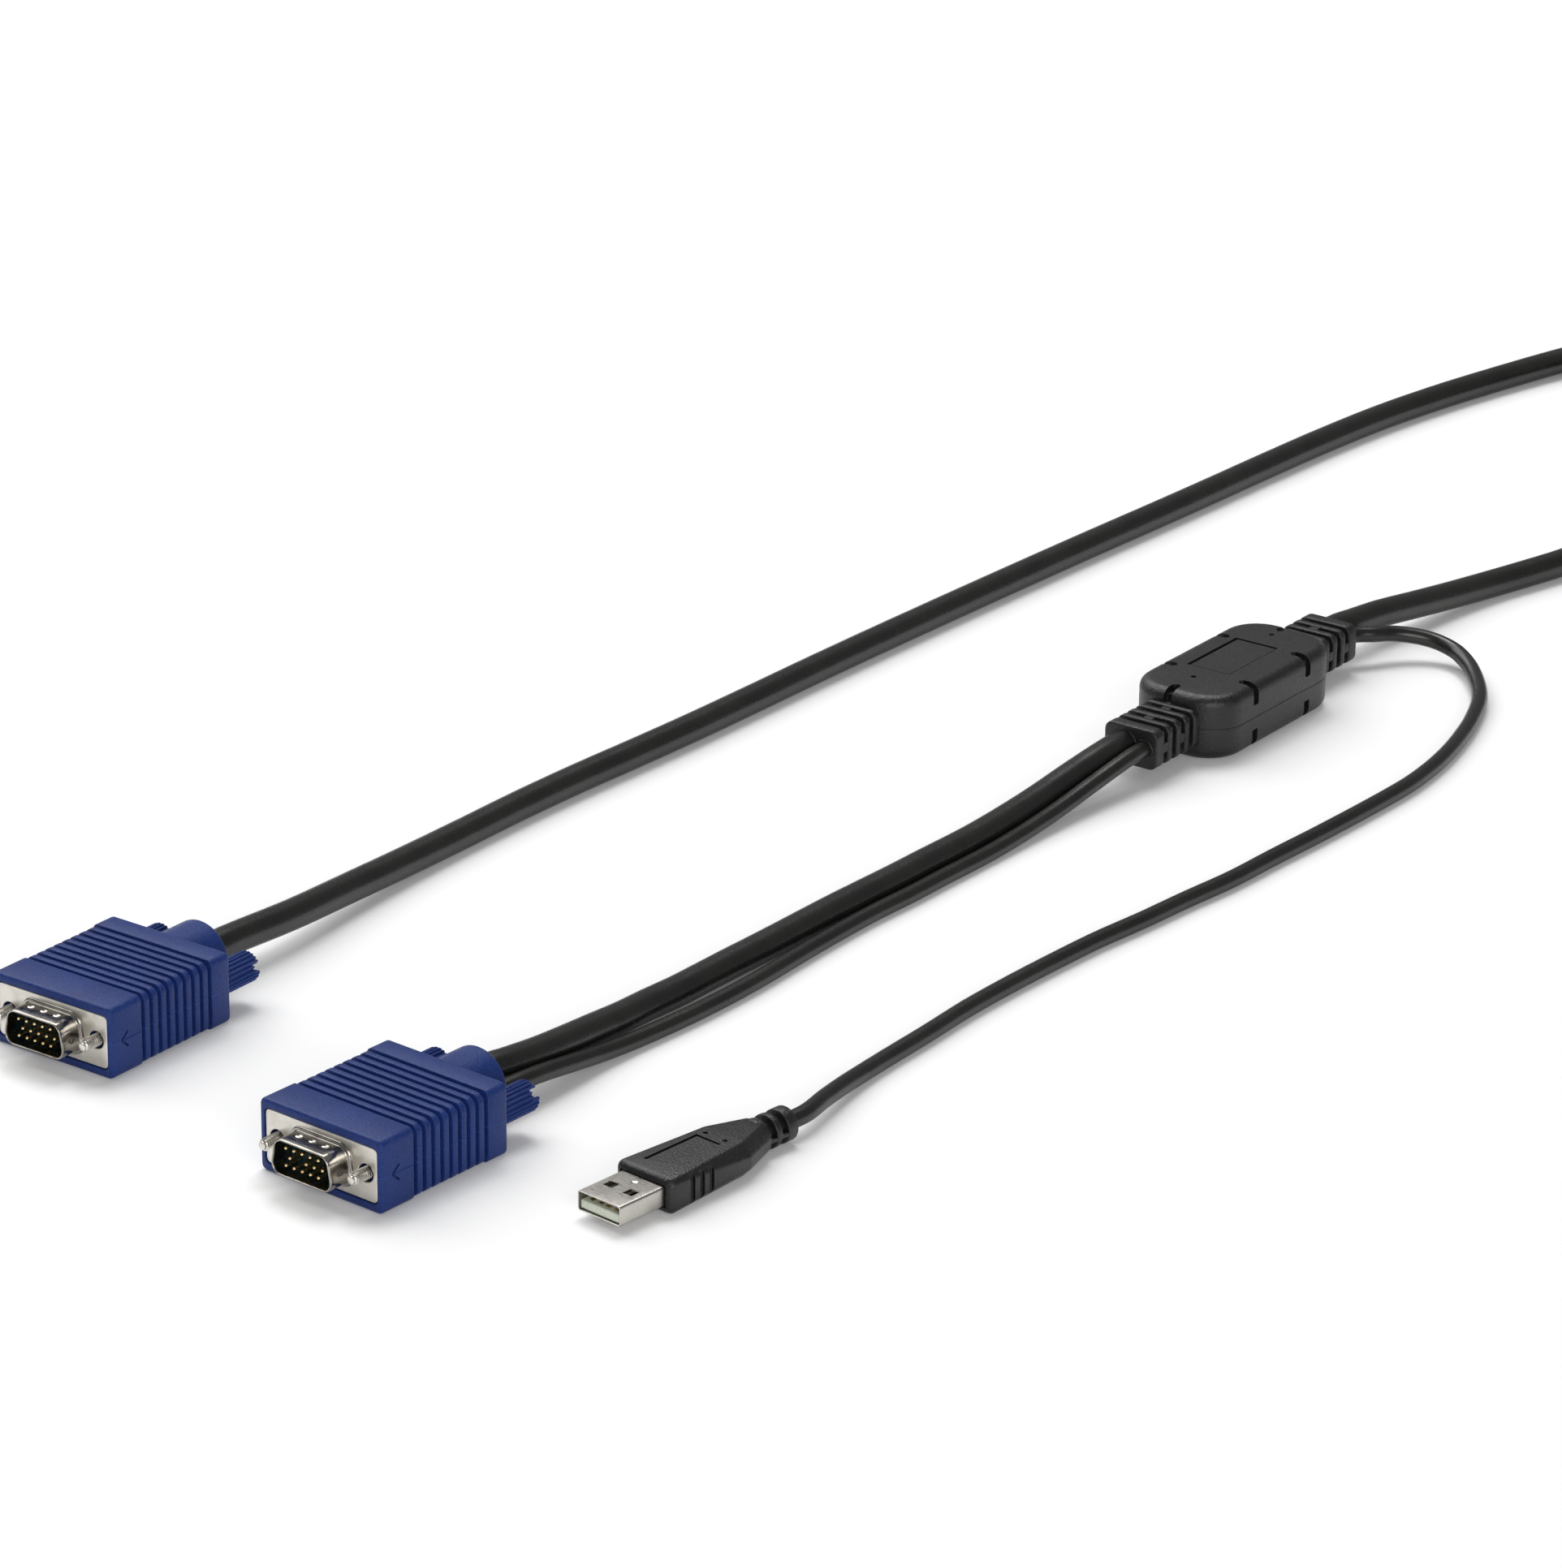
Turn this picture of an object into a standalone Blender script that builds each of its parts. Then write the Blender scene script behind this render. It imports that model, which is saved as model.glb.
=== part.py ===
"""A rack console cable: two blue 15-pin video plugs, a converter block and a data plug on their cables."""

import math

import bmesh
import bpy
from mathutils import Matrix, Vector

MM = 0.001

# Running clearance between pieces that touch
GAP = 0.3 * MM

# Where each piece lies: the origin is under the converter's middle, and -Y is the way the plugs mate
CONSOLE_PLUG_FRONT = (-76.2 * MM, -328.1 * MM)
CONSOLE_PLUG_TURN = math.radians(3.3)
SERVER_PLUG_FRONT = (11.9 * MM, -337.5 * MM)
SERVER_PLUG_TURN = 0.0
DATA_PLUG_FRONT = (65.5 * MM, -312.1 * MM)
DATA_PLUG_TURN = math.radians(-2.9)
CONVERTER_TURN = math.radians(3.6)

# Cables
MAIN_CABLE_D = 7.2 * MM
THIN_CABLE_D = 4.1 * MM

# Across a video plug, everything takes its width from the screw spacing
SCREW_SPACING = 25.0 * MM
SCREW_TO_SHROUD = 4.05 * MM
SCREW_TO_INNER_MOULD = 2.8 * MM
FLANGE_EAR = 3.2 * MM
HOOD_BORDER = 1.5 * MM
SHROUD_WIDTH = SCREW_SPACING - 2 * SCREW_TO_SHROUD
INNER_MOULD_WIDTH = SCREW_SPACING - 2 * SCREW_TO_INNER_MOULD
FLANGE_WIDTH = SCREW_SPACING + 2 * FLANGE_EAR
HOOD_WIDTH = FLANGE_WIDTH + 2 * HOOD_BORDER

# Video plug hood
HOOD_HEIGHT = 16.6 * MM
HOOD_LENGTH = 38.5 * MM
HOOD_EDGE_R = 0.8 * MM
FRONT_PLAIN = 9.7 * MM
REAR_PLAIN = 6.1 * MM
GROOVE_COUNT = 9
GROOVE_WIDTH = 0.8 * MM
GROOVE_DEPTH = 0.9 * MM
RIB_CORNER_R = 1.5 * MM
RIB_SINK = 0.05 * MM
BOOT_D = 16.0 * MM
BOOT_LENGTH = 10.3 * MM
ARROW_WIDTH = 2.6 * MM
ARROW_LINE = 0.4 * MM
ARROW_DEPTH = 0.25 * MM
MARK_FROM_FRONT = 2.6 * MM

# Front shell: flange and shroud, with the shroud's wide side down
FLANGE_HEIGHT = 12.5 * MM
FLANGE_THICKNESS = 0.8 * MM
FLANGE_CORNER_R = 1.2 * MM
FLANGE_SINK = 0.2 * MM
COLLAR_WIDTH = 0.7 * MM
COLLAR_RISE = 0.5 * MM
SHROUD_HEIGHT = 8.4 * MM
SHROUD_REACH = 5.9 * MM
SHROUD_CORNER_R = 2.6 * MM
SHROUD_SLOPE = math.radians(10.0)
SHELL_WALL = 0.5 * MM
DIMPLE_COUNT = 3
DIMPLE_PITCH = 3.3 * MM
DIMPLE_R = 1.2 * MM
DIMPLE_DEPTH = 0.25 * MM

# Contacts: three rows of five, the middle row half a pitch aside
PIN_D = 0.9 * MM
PIN_PITCH = 2.29 * MM
PIN_ROW_PITCH = 1.98 * MM
PIN_REACH = 5.1 * MM
PINS_PER_ROW = 5
MISSING_SERVER_PINS = (9,)
INSULATOR_FACE = 0.5 * MM
INSULATOR_DEPTH = 7.0 * MM
INNER_MOULD_HEIGHT = 10.6 * MM
INNER_MOULD_LENGTH = 13.0 * MM

# Thumb screws
SCREW_THREAD_D = 2.84 * MM
SCREW_SHANK_D = 2.3 * MM
SCREW_REACH = 4.4 * MM
SCREW_THREAD_LENGTH = 9.0 * MM
SCREW_CHAMFER = 0.4 * MM
SCREW_HOLE_D = 3.7 * MM
GRIP_D = 7.2 * MM
GRIP_LENGTH = 11.2 * MM
GRIP_FLUTES = 18
GRIP_FLUTE_DEPTH = 0.3 * MM
GRIP_SLOT_WIDTH = 2.0 * MM
GRIP_SLOT_DEPTH = 2.3 * MM
GRIP_SOCKET_DEPTH = 7.5 * MM
CONSOLE_SLOT_TURN = 0.0
SERVER_SLOT_TURN = math.radians(90.0)

# Data plug
DATA_SHELL_WIDTH = 12.0 * MM
DATA_SHELL_HEIGHT = 4.5 * MM
DATA_SHELL_REACH = 13.0 * MM
DATA_SHELL_WALL = 0.3 * MM
DATA_SHELL_CORNER_R = 0.5 * MM
DATA_SHELL_ROOT = 6.0 * MM
DATA_WINDOW = 2.5 * MM
DATA_WINDOW_SPACING = 5.6 * MM
DATA_WINDOW_FROM_TIP = 6.6 * MM
TONGUE_THICKNESS = 1.9 * MM
TONGUE_RECESS = 0.3 * MM
CONTACT_WIDTH = 1.0 * MM
CONTACT_HEIGHT = 0.25 * MM
CONTACT_LENGTH = 7.4 * MM
CONTACT_RECESS = 1.4 * MM
CONTACT_SPACINGS = (-3.5 * MM, -1.0 * MM, 1.0 * MM, 3.5 * MM)
DATA_BODY_WIDTH = 16.0 * MM
DATA_BODY_HEIGHT = 8.0 * MM
DATA_BODY_STRAIGHT = 24.2 * MM
DATA_BODY_TAPER = 9.9 * MM
DATA_BODY_REAR_WIDTH = 9.4 * MM
DATA_BODY_REAR_HEIGHT = 7.4 * MM
DATA_CHAMFER_FRONT = 1.0 * MM
DATA_CHAMFER_REAR = 2.6 * MM
DATA_FRONT_EDGE_R = 0.8 * MM
DATA_GRIP_GROOVES = 3
DATA_GROOVE_PITCH = 2.8 * MM
DATA_GROOVE_WIDTH = 1.1 * MM
DATA_GROOVE_DEPTH = 0.5 * MM
DATA_GROOVE_FROM_FRONT = 6.0 * MM
DATA_BOOT_D = 7.8 * MM
DATA_BOOT_LENGTH = 9.3 * MM
DATA_BOOT_SLIT = 1.5 * MM
DATA_BOOT_SLIT_PITCH = 2.9 * MM
DATA_BOOT_CORE_D = 5.4 * MM
DATA_BOOT_BRIDGE = 18

# Converter block
CONVERTER_LENGTH = 56.0 * MM
CONVERTER_WIDTH = 28.0 * MM
CONVERTER_HEIGHT = 16.4 * MM
CONVERTER_CORNER_R = 10.0 * MM
CONVERTER_EDGE_R = 2.8 * MM
RELIEF_WIDTH = 15.0 * MM
RELIEF_HEIGHT = 10.0 * MM
RELIEF_LENGTH = 18.3 * MM
RELIEF_CORNER_R = 2.2 * MM
RELIEF_SLITS = 4
RELIEF_SLIT_WIDTH = 1.7 * MM
RELIEF_SLIT_PITCH = 3.8 * MM
RELIEF_SLIT_DEPTH = 1.6 * MM
RELIEF_BRIDGE = 2.4 * MM
RELIEF_END_BLOCK = 3.6 * MM
WIRE_BORE_D = 2.6 * MM
SIDE_SLOT_WIDTH = 2.3 * MM
SIDE_SLOT_DEPTH = 1.3 * MM
SIDE_SLOT_REACH = 5.3 * MM
SIDE_SLOT_DROP = 5.0 * MM
SIDE_SLOT_OFFSET = 12.0 * MM
END_SLOT_X = -1.5 * MM
END_SLOT_DROP = 4.4 * MM
FRAME_LEFT = -7.2 * MM
FRAME_NEAR = -10.0 * MM
FRAME_LENGTH = 22.6 * MM
FRAME_WIDTH = 12.0 * MM
FRAME_LINE = 0.8 * MM
FRAME_DEPTH = 0.4 * MM
DOT_D = 1.1 * MM
DOT_X = -1.5 * MM
DOT_MIDDLE_Y = 1.8 * MM
DOT_OFFSET = 18.0 * MM
DOT_DEPTH = 0.7 * MM
BOARD_LENGTH = 38.0 * MM
BOARD_WIDTH = 16.0 * MM
BOARD_THICKNESS = 1.2 * MM
CHIP_SIZE = 9.0 * MM
CHIP_HEIGHT = 1.6 * MM

# Two cables leave each relief and the server plug's boot side by side, the thin one lower in the boot
THICK_OFFSET = -2.1 * MM
THIN_OFFSET = 3.9 * MM
THIN_DROP_IN_BOOT = 1.9 * MM

# The coil of spare main cable and its tie
COIL_CENTRE = (-39.4 * MM, 318.0 * MM)
COIL_INNER_TURN_R = 32.4 * MM
COIL_LAYERS_HEIGHT = 13.6 * MM
COIL_STEPS = 48
TIE_THICKNESS = 0.5 * MM
TIE_WIDTH = 6.0 * MM

# Each cable leaves its gland straight, and has one ring of corners every so many diameters
STRAIGHT_OUT = 6.0 * MM
CORD_CELL = 2.4
SMOOTH_STEPS = 12

ROUND_STEPS = 32
ARC_STEPS = 5

# Routes of the cables that aren't coiled, chosen by hand along the photo's cables: x, y and centre height
CONSOLE_ROUTE_MM = [
    (-79.7, -268.0, 8.1), (-81.0, -249.0, 6.9), (-84.2, -227.0, 5.3), (-86.9, -205.0, 4.1),
    (-88.9, -183.0, 3.6), (-90.3, -162.0, 3.6), (-91.1, -141.0, 3.6), (-91.3, -119.5, 3.6),
    (-91.7, -98.0, 3.6), (-92.6, -75.0, 3.6), (-93.7, -51.5, 3.6), (-94.6, -28.0, 3.6),
    (-95.3, -3.5, 3.6), (-95.9, 21.0, 3.6), (-96.4, 46.0, 3.6), (-96.8, 71.5, 3.6),
    (-97.0, 97.0, 3.6), (-97.4, 124.0, 3.6), (-98.0, 151.5, 3.6), (-98.3, 179.5, 3.6),
    (-97.6, 207.0, 3.6), (-95.2, 233.0, 3.6), (-91.6, 257.5, 3.6), (-87.0, 280.0, 3.9),
    (-81.65, 299.3, 4.4),
]
CONVERTER_ROUTE_MM = [
    (-4.8, 57.0, 8.1), (-4.2, 69.0, 7.4), (-3.2, 83.3, 6.0), (-2.3, 95.9, 4.8),
    (-1.1, 107.7, 4.0), (0.6, 118.8, 3.6), (2.8, 129.3, 3.6), (4.8, 139.9, 3.6),
    (6.6, 155.0, 3.6), (7.4, 172.0, 3.6), (6.8, 190.0, 3.6), (5.0, 208.0, 3.6),
    (2.6, 226.0, 3.6), (0.2, 244.0, 3.8), (-1.8, 262.0, 5.0), (-2.9, 276.0, 7.2),
    (-3.3, 291.4, 9.8),
]
VIDEO_PIGTAIL_ROUTE_MM = [
    (10.1, -279.0, 8.0), (10.1, -268.7, 7.0), (9.6, -259.0, 6.2), (8.9, -249.1, 5.4),
    (8.4, -239.3, 4.7), (7.5, -229.2, 4.1), (7.1, -219.4, 3.7), (6.6, -209.7, 3.6),
    (6.2, -199.9, 3.6), (5.9, -190.2, 3.6), (5.5, -180.2, 3.6), (5.0, -169.9, 3.6),
    (4.6, -159.7, 3.6), (4.4, -149.5, 3.6), (4.2, -139.3, 3.6), (3.8, -128.7, 3.6),
    (3.0, -107.0, 3.6), (1.9, -85.0, 4.6), (1.2, -66.0, 6.6),
]
DATA_PIGTAIL_ROUTE_MM = [
    (15.9, -276.5, 6.1), (15.8, -270.5, 5.5), (15.4, -262.1, 4.3), (14.9, -254.5, 3.2),
    (14.8, -245.0, 2.4), (15.0, -235.0, 2.1), (15.2, -225.0, 2.05), (15.1, -215.4, 2.05),
    (14.7, -205.6, 2.05), (13.9, -195.4, 2.05), (12.8, -184.8, 2.05), (11.8, -174.3, 2.05),
    (11.0, -163.9, 2.05), (10.4, -153.2, 2.05), (10.2, -139.3, 2.05), (9.7, -128.7, 2.05),
    (8.9, -107.0, 2.1), (7.8, -85.0, 3.4), (7.2, -66.0, 6.0),
]
DATA_LEAD_ROUTE_MM = [
    (3.9, 55.2, 7.9), (6.9, 60.4, 7.3), (11.5, 64.6, 6.4), (16.4, 66.6, 5.4),
    (22.6, 65.8, 4.3), (30.9, 59.8, 3.3), (40.7, 48.2, 2.5), (47.3, 34.9, 2.1),
    (52.3, 21.3, 2.05), (55.8, 9.1, 2.05), (58.1, -2.3, 2.05), (59.4, -12.9, 2.05),
    (60.2, -32.1, 2.05), (60.5, -50.2, 2.05), (60.5, -67.9, 2.05), (60.7, -85.4, 2.05),
    (59.8, -101.5, 2.05), (59.2, -117.5, 2.05), (58.2, -133.0, 2.05), (58.0, -149.0, 2.05),
    (58.2, -165.1, 2.05), (58.9, -181.4, 2.05), (60.5, -198.1, 2.05), (61.8, -214.4, 2.05),
    (62.9, -223.3, 2.3), (64.4, -231.3, 2.9), (66.5, -240.5, 3.6),
]

COLOURS = {
    "blue_hood": ((0.022, 0.036, 0.205), 0.45, 0.0),
    "black_mould": ((0.018, 0.018, 0.018), 0.55, 0.0),
    "black_cable": ((0.014, 0.014, 0.014), 0.4, 0.0),
    "nickel": ((0.62, 0.6, 0.57), 0.25, 1.0),
    "gold": ((0.83, 0.6, 0.25), 0.25, 1.0),
    "dark_insulator": ((0.01, 0.02, 0.022), 0.5, 0.0),
    "clear_mould": ((0.5, 0.5, 0.46), 0.5, 0.0),
    "pale_tongue": ((0.7, 0.76, 0.66), 0.4, 0.0),
    "green_board": ((0.01, 0.12, 0.04), 0.5, 0.0),
    "black_chip": ((0.01, 0.01, 0.01), 0.5, 0.0),
    "tie_plastic": ((0.02, 0.02, 0.02), 0.5, 0.0),
}


def clear_scene():
    """Remove what the file starts with."""
    for thing in list(bpy.data.objects):
        bpy.data.objects.remove(thing)


def new_collection(name):
    """A collection linked to the scene."""
    collection = bpy.data.collections.new(name)
    bpy.context.scene.collection.children.link(collection)
    return collection


def make_material(name):
    """A Principled material with the colour, roughness and metallic value of that finish."""
    colour, roughness, metallic = COLOURS[name]
    material = bpy.data.materials.new(name)
    material.use_nodes = True
    shader = material.node_tree.nodes["Principled BSDF"]
    shader.inputs["Base Color"].default_value = (*colour, 1.0)
    shader.inputs["Roughness"].default_value = roughness
    shader.inputs["Metallic"].default_value = metallic
    material.diffuse_color = (*colour, 1.0)
    return material


def new_root(name, place, turn):
    """An empty that carries the pieces of one connector."""
    root = bpy.data.objects.new(name, None)
    root.location = (place[0], place[1], 0)
    root.rotation_euler = (0, 0, turn)
    PARTS.objects.link(root)
    return root


def finished(mesh, name, root=None, material=None):
    """Put a mesh in the scene as a named piece, or as a cutter when it has no material."""
    piece = bpy.data.objects.new(name, mesh)
    piece.parent = root
    if material:
        mesh.materials.clear()
        mesh.materials.append(MATERIALS[material])
        mesh.shade_smooth()
        mesh.set_sharp_from_angle(angle=math.radians(30))
        PARTS.objects.link(piece)
    else:
        piece.hide_render = True
        piece.display_type = "WIRE"
        CUTTERS.objects.link(piece)
    return piece


def combine(piece, name, mesh, operation="DIFFERENCE"):
    """Cut a mesh out of a piece, or join it on, with a Boolean."""
    other = finished(mesh, f"{piece.name}_{name}", piece.parent)
    boolean = piece.modifiers.new(name, "BOOLEAN")
    boolean.operation = operation
    boolean.solver = "EXACT"
    boolean.object = other


def from_bmesh(work, name="shape"):
    """Turn a bmesh into a mesh with outward faces."""
    bmesh.ops.recalc_face_normals(work, faces=work.faces)
    mesh = bpy.data.meshes.new(name)
    work.to_mesh(mesh)
    work.free()
    return mesh


def box(low, high, edge_radius=0.0):
    """A box between two corners, with its edges rounded by edge_radius."""
    low, high = Vector(low), Vector(high)
    work = bmesh.new()
    place = Matrix.Translation((low + high) / 2) @ Matrix.Diagonal((high - low).to_4d())
    bmesh.ops.create_cube(work, size=1.0, matrix=place)
    if edge_radius:
        edges = list(work.edges)
        bmesh.ops.bevel(work, geom=edges, offset=edge_radius, segments=2, profile=0.5, affect="EDGES")
    return from_bmesh(work)


def bar(diameter, low, high, x=0.0, z=0.0, steps=ROUND_STEPS):
    """A round bar along Y."""
    work = bmesh.new()
    place = Matrix.Translation((x, (low + high) / 2, z)) @ Matrix.Rotation(math.radians(90), 4, "X")
    bmesh.ops.create_cone(work, cap_ends=True, segments=steps, radius1=diameter / 2, radius2=diameter / 2,
                          depth=high - low, matrix=place)
    return from_bmesh(work)


def several(meshes):
    """One mesh that holds several separate closed shapes."""
    work = bmesh.new()
    for mesh in meshes:
        work.from_mesh(mesh)
    return from_bmesh(work)


def rectangle(width, height, x=0.0, z=0.0):
    """Corners of a rectangle about a centre."""
    signs = ((-1, -1), (1, -1), (1, 1), (-1, 1))
    return [(x + side * width / 2, z + rise * height / 2) for side, rise in signs]


def circle(diameter, x=0.0, z=0.0, steps=ROUND_STEPS):
    """Points of a circle."""
    turns = [2 * math.pi * step / steps for step in range(steps)]
    return [(x + diameter / 2 * math.cos(turn), z + diameter / 2 * math.sin(turn)) for turn in turns]


def rounded(corners, radius, steps=ARC_STEPS):
    """An outline with an arc at each of its corners."""
    points = []
    for index, corner in enumerate(corners):
        here = Vector(corner)
        before = (Vector(corners[index - 1]) - here).normalized()
        after = (Vector(corners[(index + 1) % len(corners)]) - here).normalized()
        half_angle = before.angle(after) / 2
        centre = here + (before + after).normalized() * radius / math.sin(half_angle)
        reach = radius / math.tan(half_angle)
        start = here + before * reach - centre
        end = here + after * reach - centre
        first = math.atan2(start.y, start.x)
        sweep = math.remainder(math.atan2(end.y, end.x) - first, 2 * math.pi)
        for step in range(steps + 1):
            angle = first + sweep * step / steps
            points.append((centre.x + radius * math.cos(angle), centre.y + radius * math.sin(angle)))
    return points


def moved(outline, x=0.0, z=0.0):
    """The same outline somewhere else."""
    return [(point[0] + x, point[1] + z) for point in outline]


PLANES = {
    "X": Matrix(((0, 0, 1), (1, 0, 0), (0, 1, 0))).to_4x4(),
    "Y": Matrix(((1, 0, 0), (0, 0, -1), (0, 1, 0))).to_4x4(),
    "Z": Matrix.Identity(4),
}


def prism(outlines, low, high, axis="Y"):
    """An outline with its holes, drawn out along an axis: given as x and z along Y, as y and z along X."""
    curve = bpy.data.curves.new("outline", "CURVE")
    curve.dimensions = "2D"
    curve.fill_mode = "BOTH"
    curve.extrude = (high - low) / 2 / MM
    for outline in outlines:
        spline = curve.splines.new("POLY")
        spline.points.add(len(outline) - 1)
        spline.use_cyclic_u = True
        for point, (across, up) in zip(spline.points, outline):
            point.co = (across / MM, up / MM, 0, 1)
    holder = bpy.data.objects.new("outline", curve)
    bpy.context.scene.collection.objects.link(holder)
    graph = bpy.context.evaluated_depsgraph_get()
    mesh = bpy.data.meshes.new_from_object(holder.evaluated_get(graph))
    bpy.data.objects.remove(holder)
    middle = Vector((0, 0, 0))
    middle["XYZ".index(axis)] = (low + high) / 2
    work = bmesh.new()
    work.from_mesh(mesh)
    place = Matrix.Translation(middle) @ PLANES[axis] @ Matrix.Scale(MM, 4)
    bmesh.ops.transform(work, matrix=place, verts=work.verts)
    bmesh.ops.remove_doubles(work, verts=work.verts, dist=0.001 * MM)
    bmesh.ops.dissolve_limit(work, angle_limit=math.radians(0.5), verts=work.verts, edges=work.edges)
    return from_bmesh(work)


def turned(name, profile, root, material, x=0.0, z=0.0, steps=ROUND_STEPS):
    """A turned piece: its profile gives a radius and a place along -Y, from the tip down."""
    work = bmesh.new()
    points = [work.verts.new((radius, 0, along)) for radius, along in profile]
    for first, second in zip(points, points[1:]):
        work.edges.new((first, second))
    mesh = bpy.data.meshes.new(name)
    work.to_mesh(mesh)
    work.free()
    piece = finished(mesh, name, root, material)
    piece.location = (x, 0, z)
    piece.rotation_euler = (math.radians(90), 0, 0)
    screw = piece.modifiers.new("turn", "SCREW")
    screw.steps = steps
    screw.render_steps = steps
    screw.use_merge_vertices = True
    screw.merge_threshold = 0.005 * MM
    return piece


def shroud_outline(inset):
    """The D of the shroud with its wide side down, shrunk by inset all round."""
    lean = math.tan(SHROUD_SLOPE)
    tilt = 1 / math.cos(SHROUD_SLOPE)
    half_height = SHROUD_HEIGHT / 2
    middle = (SHROUD_WIDTH / 2 - (half_height - SHROUD_CORNER_R) * lean
              + SHROUD_CORNER_R * (tilt - 1) - inset * tilt)
    half_height -= inset
    low_x = middle + half_height * lean
    high_x = middle - half_height * lean
    corners = [(-low_x, -half_height), (low_x, -half_height),
               (high_x, half_height), (-high_x, half_height)]
    return moved(rounded(corners, SHROUD_CORNER_R - inset), z=HOOD_HEIGHT / 2)


def inner_mould_start():
    """Where the inner mould begins behind the insulator."""
    return INSULATOR_DEPTH - INSULATOR_FACE + GAP


def hood(name, root):
    """The blue overmould: plain ends, ribs between grooves, a round boot and a hollow for the insides."""
    middle = HOOD_HEIGHT / 2
    core = rectangle(HOOD_WIDTH - 2 * GROOVE_DEPTH, HOOD_HEIGHT - 2 * GROOVE_DEPTH, z=middle)
    mesh = prism([rounded(core, RIB_CORNER_R - GROOVE_DEPTH)],
                 FRONT_PLAIN / 2, HOOD_LENGTH - REAR_PLAIN / 2)
    piece = finished(mesh, name, root, "blue_hood")
    half_width = HOOD_WIDTH / 2
    blocks = [
        box((-half_width, 0, 0), (half_width, FRONT_PLAIN, HOOD_HEIGHT), HOOD_EDGE_R),
        box((-half_width, HOOD_LENGTH - REAR_PLAIN, 0), (half_width, HOOD_LENGTH, HOOD_HEIGHT),
            HOOD_EDGE_R),
    ]
    ribbed = HOOD_LENGTH - FRONT_PLAIN - REAR_PLAIN
    rib_pitch = (ribbed - GROOVE_WIDTH) / (GROOVE_COUNT - 1)
    rib = rectangle(HOOD_WIDTH - 2 * RIB_SINK, HOOD_HEIGHT - 2 * RIB_SINK, z=middle)
    for index in range(GROOVE_COUNT - 1):
        start = FRONT_PLAIN + GROOVE_WIDTH + index * rib_pitch
        blocks.append(prism([rounded(rib, RIB_CORNER_R)], start, start + rib_pitch - GROOVE_WIDTH))
    combine(piece, "blocks", several(blocks), "UNION")
    boot_start = HOOD_LENGTH - REAR_PLAIN / 2
    combine(piece, "boot", bar(BOOT_D, boot_start, HOOD_LENGTH + BOOT_LENGTH, z=middle), "UNION")
    seat = rectangle(FLANGE_WIDTH + 2 * GAP, FLANGE_HEIGHT + 2 * GAP, z=middle)
    seat_depth = FLANGE_SINK + FLANGE_THICKNESS + GAP
    combine(piece, "flange_seat", prism([rounded(seat, FLANGE_CORNER_R)], -HOOD_EDGE_R, seat_depth))
    hollow_half = INNER_MOULD_WIDTH / 2 + GAP
    hollow_rise = INNER_MOULD_HEIGHT / 2 + GAP
    hollow_end = inner_mould_start() + INNER_MOULD_LENGTH + GAP
    hollow = box((-hollow_half, 0, middle - hollow_rise), (hollow_half, hollow_end, middle + hollow_rise))
    combine(piece, "hollow", hollow)
    bore = SCREW_THREAD_D + 2 * GAP
    span = (seat_depth / 2, HOOD_LENGTH + HOOD_EDGE_R)
    bores = [bar(bore, *span, x=side * SCREW_SPACING / 2, z=middle, steps=20) for side in (-1, 1)]
    combine(piece, "screw_bores", several(bores))
    combine(piece, "arrows", several([arrow_cutter(side) for side in (-1, 1)]))
    return piece


def arrow_cutter(side):
    """The open arrowhead on each side of the hood that points to the mating end."""
    middle = HOOD_HEIGHT / 2
    tip = MARK_FROM_FRONT
    back = tip + ARROW_WIDTH
    rise = ARROW_WIDTH / 2
    head = [(tip, middle), (back, middle - rise), (back + ARROW_LINE, middle - rise),
            (tip + 2 * ARROW_LINE, middle), (back + ARROW_LINE, middle + rise), (back, middle + rise)]
    surface = side * HOOD_WIDTH / 2
    return prism([head], surface - ARROW_DEPTH, surface + ARROW_DEPTH, axis="X")


def front_shell(name, root):
    """The drawn steel shell: a flange with two screw holes, a collar and a D-shaped shroud with dimples."""
    middle = HOOD_HEIGHT / 2
    plate = rounded(rectangle(FLANGE_WIDTH, FLANGE_HEIGHT, z=middle), FLANGE_CORNER_R)
    holes = [circle(SCREW_HOLE_D, x=side * SCREW_SPACING / 2, z=middle, steps=20) for side in (-1, 1)]
    back = FLANGE_SINK + FLANGE_THICKNESS
    mesh = prism([plate, shroud_outline(SHELL_WALL / 2), *holes], FLANGE_SINK, back)
    piece = finished(mesh, name, root, "nickel")
    joint = (FLANGE_SINK + back) / 2
    collar_outlines = [shroud_outline(-COLLAR_WIDTH), shroud_outline(SHELL_WALL / 2)]
    collar = prism(collar_outlines, FLANGE_SINK - COLLAR_RISE, joint)
    combine(piece, "collar", collar, "UNION")
    shroud = prism([shroud_outline(0), shroud_outline(SHELL_WALL)], -SHROUD_REACH, joint - COLLAR_RISE)
    combine(piece, "shroud", shroud, "UNION")
    dimples = []
    for index in range(DIMPLE_COUNT):
        work = bmesh.new()
        x = (index - (DIMPLE_COUNT - 1) / 2) * DIMPLE_PITCH
        top = middle + SHROUD_HEIGHT / 2
        place = Matrix.Translation((x, -SHROUD_REACH / 2, top + DIMPLE_R - DIMPLE_DEPTH))
        bmesh.ops.create_uvsphere(work, u_segments=12, v_segments=8, radius=DIMPLE_R, matrix=place)
        dimples.append(from_bmesh(work))
    combine(piece, "dimples", several(dimples))
    return piece


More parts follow.
